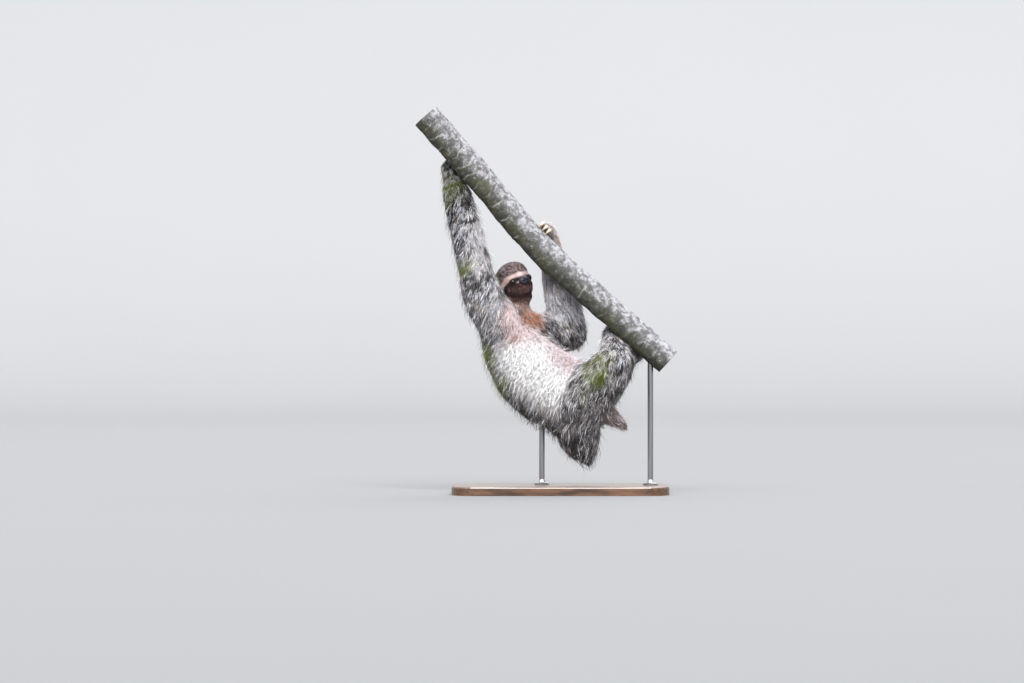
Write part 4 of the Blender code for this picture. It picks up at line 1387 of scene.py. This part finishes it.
def scar_relief(path, spin):
    """Height of the ridges of the leaf scars, and of the hollows beside them."""
    run = np.concatenate(([0.0], np.cumsum(length(np.diff(path, axis=0)))))
    ridge = np.zeros((len(path), len(spin)))
    dip = np.zeros_like(ridge)
    near = np.maximum(0, -np.cos(spin))
    for k, (x, strength) in enumerate(SCARS):
        middle = np.interp(x, path[:, 0], run)
        wander = (0.0034 * np.sin(spin * 2 + k * 1.9) + 0.0018 * np.sin(spin * 5 + k)
                  + 0.0009 * np.sin(spin * 11 + k * 2.7))
        gap = run[:, None] - middle - (SCAR_BOW * near ** 2 + wander)[None]
        fade = strength * (0.35 + 0.65 * np.sin(spin * 1.5 + k * 2.4 + 2.6) ** 2)
        fade = fade * (0.55 + 0.45 * np.sin(spin * 7 + k * 1.3) ** 2)
        wide = SCAR_WIDTH * (0.8 + 0.5 * np.sin(spin * 3 + k * 0.9) ** 2)
        ridge += fade * bell(gap / wide)
        dip += fade * bell((gap + 0.0042) / 0.0030)
    return ridge, dip


def bark_relief(places):
    """Height of the bark's grain and warts."""
    grain = (0.0011 * (noise(places, 0.050) - 0.5) + 0.0009 * (noise(places, 0.017, 4.0) - 0.5)
             + 0.0006 * (noise(places, 0.0062, 8.0) - 0.5))
    return grain, 0.0007 * smooth(0.80, 0.95, noise(places, 0.011, 15.0))


def make_perch(rings=460, sides=132):
    """The branch: knobbly bark ringed by leaf scars, and a sawn cut at each end."""
    path = spline(BRANCH, rings)
    ahead = unit(np.gradient(path, axis=0))
    over = np.column_stack((-ahead[:, 2], np.zeros(rings), ahead[:, 0]))
    along = np.arange(rings) / (rings - 1)
    radius = BRANCH_R + 0.0010 * np.sin(along * 37.0) + 0.0006 * np.sin(along * 91.0 + 1.0)
    spin = circle(sides)
    spoke = (np.cos(spin)[None, :, None] * np.array((0.0, 1.0, 0.0))
             + np.sin(spin)[None, :, None] * over[:, None])
    plain = path[:, None] + spoke * radius[:, None, None]
    ridge, dip = scar_relief(path, spin)
    grain, warts = (h.reshape(rings, sides) for h in bark_relief(plain.reshape(-1, 3)))
    height = SCAR_HEIGHT * ridge - 0.0007 * dip + grain + warts
    surface = (plain + spoke * height[..., None]).reshape(-1, 3)
    points = [surface]
    faces = [band(k * sides, (k + 1) * sides, sides, flip=True) for k in range(rings - 1)]
    kinds = [np.zeros((rings - 1) * sides, int)]
    count = len(surface)
    for end, way in ((0, 1), (rings - 1, -1)):
        edge = before = end * sides
        for share in SAWN_RINGS:
            spots = path[end] + (surface[edge:edge + sides] - path[end]) * share
            check = 0.0004 * (noise(spots, 0.004, 2.0) - 0.5)
            points.append(spots + ahead[end] * check[:, None])
            faces.append(band(before, count, sides) if way > 0 else band(count, before, sides))
            kinds.append(np.full(sides, 0 if share > 0.9 else 1))
            before = count
            count += sides
        faces.append(before + np.arange(sides)[None, ::way])
        kinds.append(np.array((1,)))
    points = np.concatenate(points)
    perch = faces_mesh("branch", points, faces)
    extra = np.zeros(len(points) - len(surface))
    for name, values in (("scar", np.clip(ridge, 0, 1)), ("hollow", np.clip(dip, 0, 1)),
                         ("over", np.tile(np.sin(spin), rings))):
        paint(perch, name, np.concatenate((values.ravel(), extra)))
    centres = np.concatenate((path, *(np.repeat(path[k:k + 1], len(SAWN_RINGS), axis=0)
                                      for k in (0, rings - 1))))
    reach = length(points - np.repeat(centres, sides, axis=0))
    paint(perch, "reach", reach)
    bark_material().wear(perch)
    perch.data.materials.append(sawn_material().made)
    perch.data.polygons.foreach_set("material_index", np.concatenate(kinds).astype(np.int32))
    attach(perch, "root")
    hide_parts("perch")


def bark_material():
    m = Material("bark", 0.18, roughness=0.85)
    broad = m.noise(14.0, 4.0, rough=0.6)
    blotch = m.noise(70.0, 5.0, rough=0.68)
    fleck = m.noise(190.0, 4.0, rough=0.7)
    speck = m.noise(520.0, 3.0, rough=0.6)
    over = m.attribute("over")
    # painted light and shade: the top of the branch paler and its underside darker, the underside
    # also olive
    base = m.mix(m.ramp(over, -0.55, 0.75), tint(62, 62, 56), tint(104, 103, 106))
    tone = m.mix(m.ramp(blotch, 0.40, 0.62), (0.60, 0.60, 0.58), (1.30, 1.30, 1.32))
    base = m.mix(1.0, base, tone, "MULTIPLY")
    lift = m.math("ADD", m.times(blotch, 0.6), m.times(fleck, 0.4))
    # the pale blotches gather on the top, partly painted light
    lift = m.math("ADD", lift, m.times(over, 0.075))
    base = m.mix(m.times(m.ramp(lift, 0.52, 0.62), 0.72), base, tint(146, 146, 151))
    green = m.ramp(m.math("SUBTRACT", broad, m.times(over, 0.13)), 0.50, 0.68)
    moss = m.mix(fleck, tint(48, 50, 33), tint(86, 84, 62))
    base = m.mix(m.times(green, 0.42), base, moss)
    base = m.mix(m.times(m.ramp(fleck, 0.58, 0.70), 0.60), base, tint(34, 33, 31))
    base = m.mix(m.times(m.ramp(speck, 0.64, 0.74), 0.7), base, tint(158, 158, 164))
    # painted shade: darker in the hollows beside the leaf scars
    base = m.mix(m.times(m.attribute("hollow"), 0.60), base, tint(42, 40, 36))
    scar = m.times(m.times(m.attribute("scar"), 0.95), m.ramp(blotch, 0.34, 0.60))
    m.colour(m.mix(scar, base, tint(146, 143, 139)))
    height = m.math("ADD", m.times(fleck, 0.7), m.times(speck, 0.3))
    m.bump(height, 0.0012, 0.8)
    m.rough_between(blotch, 0.92, 0.74)
    return m


def sawn_material():
    m = Material("sawn_wood", roughness=0.75)
    reach = m.attribute("reach")
    wobble = m.noise(60.0, 2.0)
    wobbly = m.math("ADD", reach, m.times(wobble, 0.004))
    rings = m.math("SINE", m.times(wobbly, 2400.0))
    wood = m.mix(m.ramp(rings, -0.6, 0.9), tint(172, 148, 112), tint(136, 106, 74))
    fine = m.noise(500.0, 3.0)
    wood = m.mix(m.ramp(fine, 0.4, 0.7), wood, tint(120, 92, 64))
    m.colour(m.mix(m.ramp(reach, 0.0315, 0.0325), wood, tint(92, 74, 56)))
    m.bump(fine, 0.0005, 0.5)
    return m


# ---------------------------------------------------------------- the stand
def dress_stand():
    m = Material("walnut", roughness=0.34, coat_weight=0.35, coat_roughness=0.18)
    warp = m.noise(3.0, 2.0, stretch=(1.0, 3.0, 1.0))
    grain = m.noise(16.0, 6.0, stretch=(1.0, 14.0, 8.0), rough=0.6)
    pores = m.noise(140.0, 3.0, stretch=(0.12, 3.0, 1.0), rough=0.6)
    wood = m.mix(m.ramp(grain, 0.32, 0.68), tint(44, 29, 20), tint(88, 60, 40))
    wood = m.mix(m.times(m.ramp(warp, 0.4, 0.7), 0.45), wood, tint(104, 74, 50))
    m.colour(m.mix(m.times(m.ramp(pores, 0.58, 0.72), 0.6), wood, tint(34, 22, 16)))
    m.bump(pores, 0.0002, 0.35)
    m.rough_between(grain, 0.28, 0.46)
    steel = Material("brushed_steel", roughness=0.3, metallic=1.0)
    brush = steel.noise(220.0, 4.0, stretch=(1.0, 1.0, 0.04), rough=0.6)
    steel.colour(steel.mix(brush, tint(128, 128, 130), tint(176, 176, 178)))
    steel.rough_between(brush, 0.22, 0.42)
    steel.bump(brush, 0.0001, 0.3)
    for node, look in (("stand_base", m), ("stand_rod_body", steel), ("stand_rod_perch", steel)):
        for slot in NODES[node].material_slots:
            slot.material = look.made


# ---------------------------------------------------------------- floor, light and camera
FLOOR_R, STAGE_R, WALL_HEIGHT = 12.5, 18.0, 6.5


def make_stage(turns=96):
    """A wide round floor that sweeps up into a backdrop on every side."""
    sweep = STAGE_R - FLOOR_R
    profile = [(reach, 0.0) for reach in (0.6, 2.5, 6.0, FLOOR_R)]
    profile += [(FLOOR_R + sweep * math.sin(a), sweep * (1 - math.cos(a)))
                for a in np.linspace(0, math.pi / 2, 25)[1:]]
    profile.append((STAGE_R, WALL_HEIGHT))
    spin = circle(turns)
    spokes = np.column_stack((np.cos(spin), np.sin(spin), np.zeros(turns)))
    points = np.concatenate([spokes * r + (0, 0, z) for r, z in profile] + [np.zeros((1, 3))])
    faces = [band(k * turns, (k + 1) * turns, turns, flip=True)
             for k in range(len(profile) - 1)]
    ring = np.arange(turns)
    faces.append(np.column_stack((ring, (ring + 1) % turns, np.full(turns, len(points) - 1))))
    floor = faces_mesh("floor", points, faces)
    m = Material("studio_paper", 0.1, roughness=0.9)
    paint(floor, "reach", length(points))
    # painted light: the floor and backdrop grow paler far from the middle, in place of light on
    # the wall
    far = m.ramp(m.attribute("reach"), 9.0, 17.5)
    paper_with_painted_light = m.mix(far, (0.172, 0.174, 0.177), (0.205, 0.208, 0.213))
    cloud = m.mix(m.noise(0.8, 2.0), (0.97, 0.97, 0.97), (1.0, 1.0, 1.0))
    m.colour(m.mix(1.0, paper_with_painted_light, cloud, "MULTIPLY"))
    m.wear(floor)


SUNS = (                # name, direction, width in degrees, strength, colour
    ("key", (0.2, -5.2, 4.9), 40.0, 7.2, (1.0, 0.99, 0.975)),
    ("fill", (-4.6, -5.6, 2.2), 55.0, 2.0, (0.98, 0.99, 1.0)),
    ("rim", (1.4, 3.6, 4.6), 40.0, 1.6, (1.0, 1.0, 1.0)),
)
SKY_COLOUR, SKY_STRENGTH = (0.92, 0.95, 1.0, 1.0), 1.8


def add_sun(name, place, spread, power, colour):
    """Soft light from a wide lamp far away."""
    data = bpy.data.lights.new(name, "SUN")
    data.angle, data.energy, data.color = math.radians(spread), power, colour
    light = bpy.data.objects.new(name, data)
    light.location = place
    light.rotation_euler = Vector(place).to_track_quat("Z", "Y").to_euler()
    bpy.context.scene.collection.objects.link(light)


def make_lights():
    for sun in SUNS:
        add_sun(*sun)
    world = bpy.data.worlds.new("studio")
    world.use_nodes = True
    shade = next(n for n in world.node_tree.nodes if n.type == "BACKGROUND")
    shade.inputs["Color"].default_value = SKY_COLOUR
    shade.inputs["Strength"].default_value = SKY_STRENGTH
    bpy.context.scene.world = world


CAMERA_PLACE, SENSOR_WIDTH, LENS, CAMERA_FAR = (-0.120, -10.667, 0.381), 36.0, 150.0, 60.0


def make_camera():
    data = bpy.data.cameras.new("camera")
    data.sensor_width, data.lens, data.clip_end = SENSOR_WIDTH, LENS, CAMERA_FAR
    camera = bpy.data.objects.new("camera", data)
    camera.location = CAMERA_PLACE
    camera.rotation_euler = (math.radians(90.0), 0.0, 0.0)
    bpy.context.scene.collection.objects.link(camera)
    bpy.context.scene.camera = camera
    bpy.context.scene.view_settings.view_transform = "Standard"


make_camera()
make_lights()
make_stage()
make_perch()
make_claws()
make_eye("eyeball_left", 1, "eye_left")
make_eye("eyeball_right", -1, "eye_right")
make_nose()
finish_skin()
grow_coat(coat_material())
dress_stand()
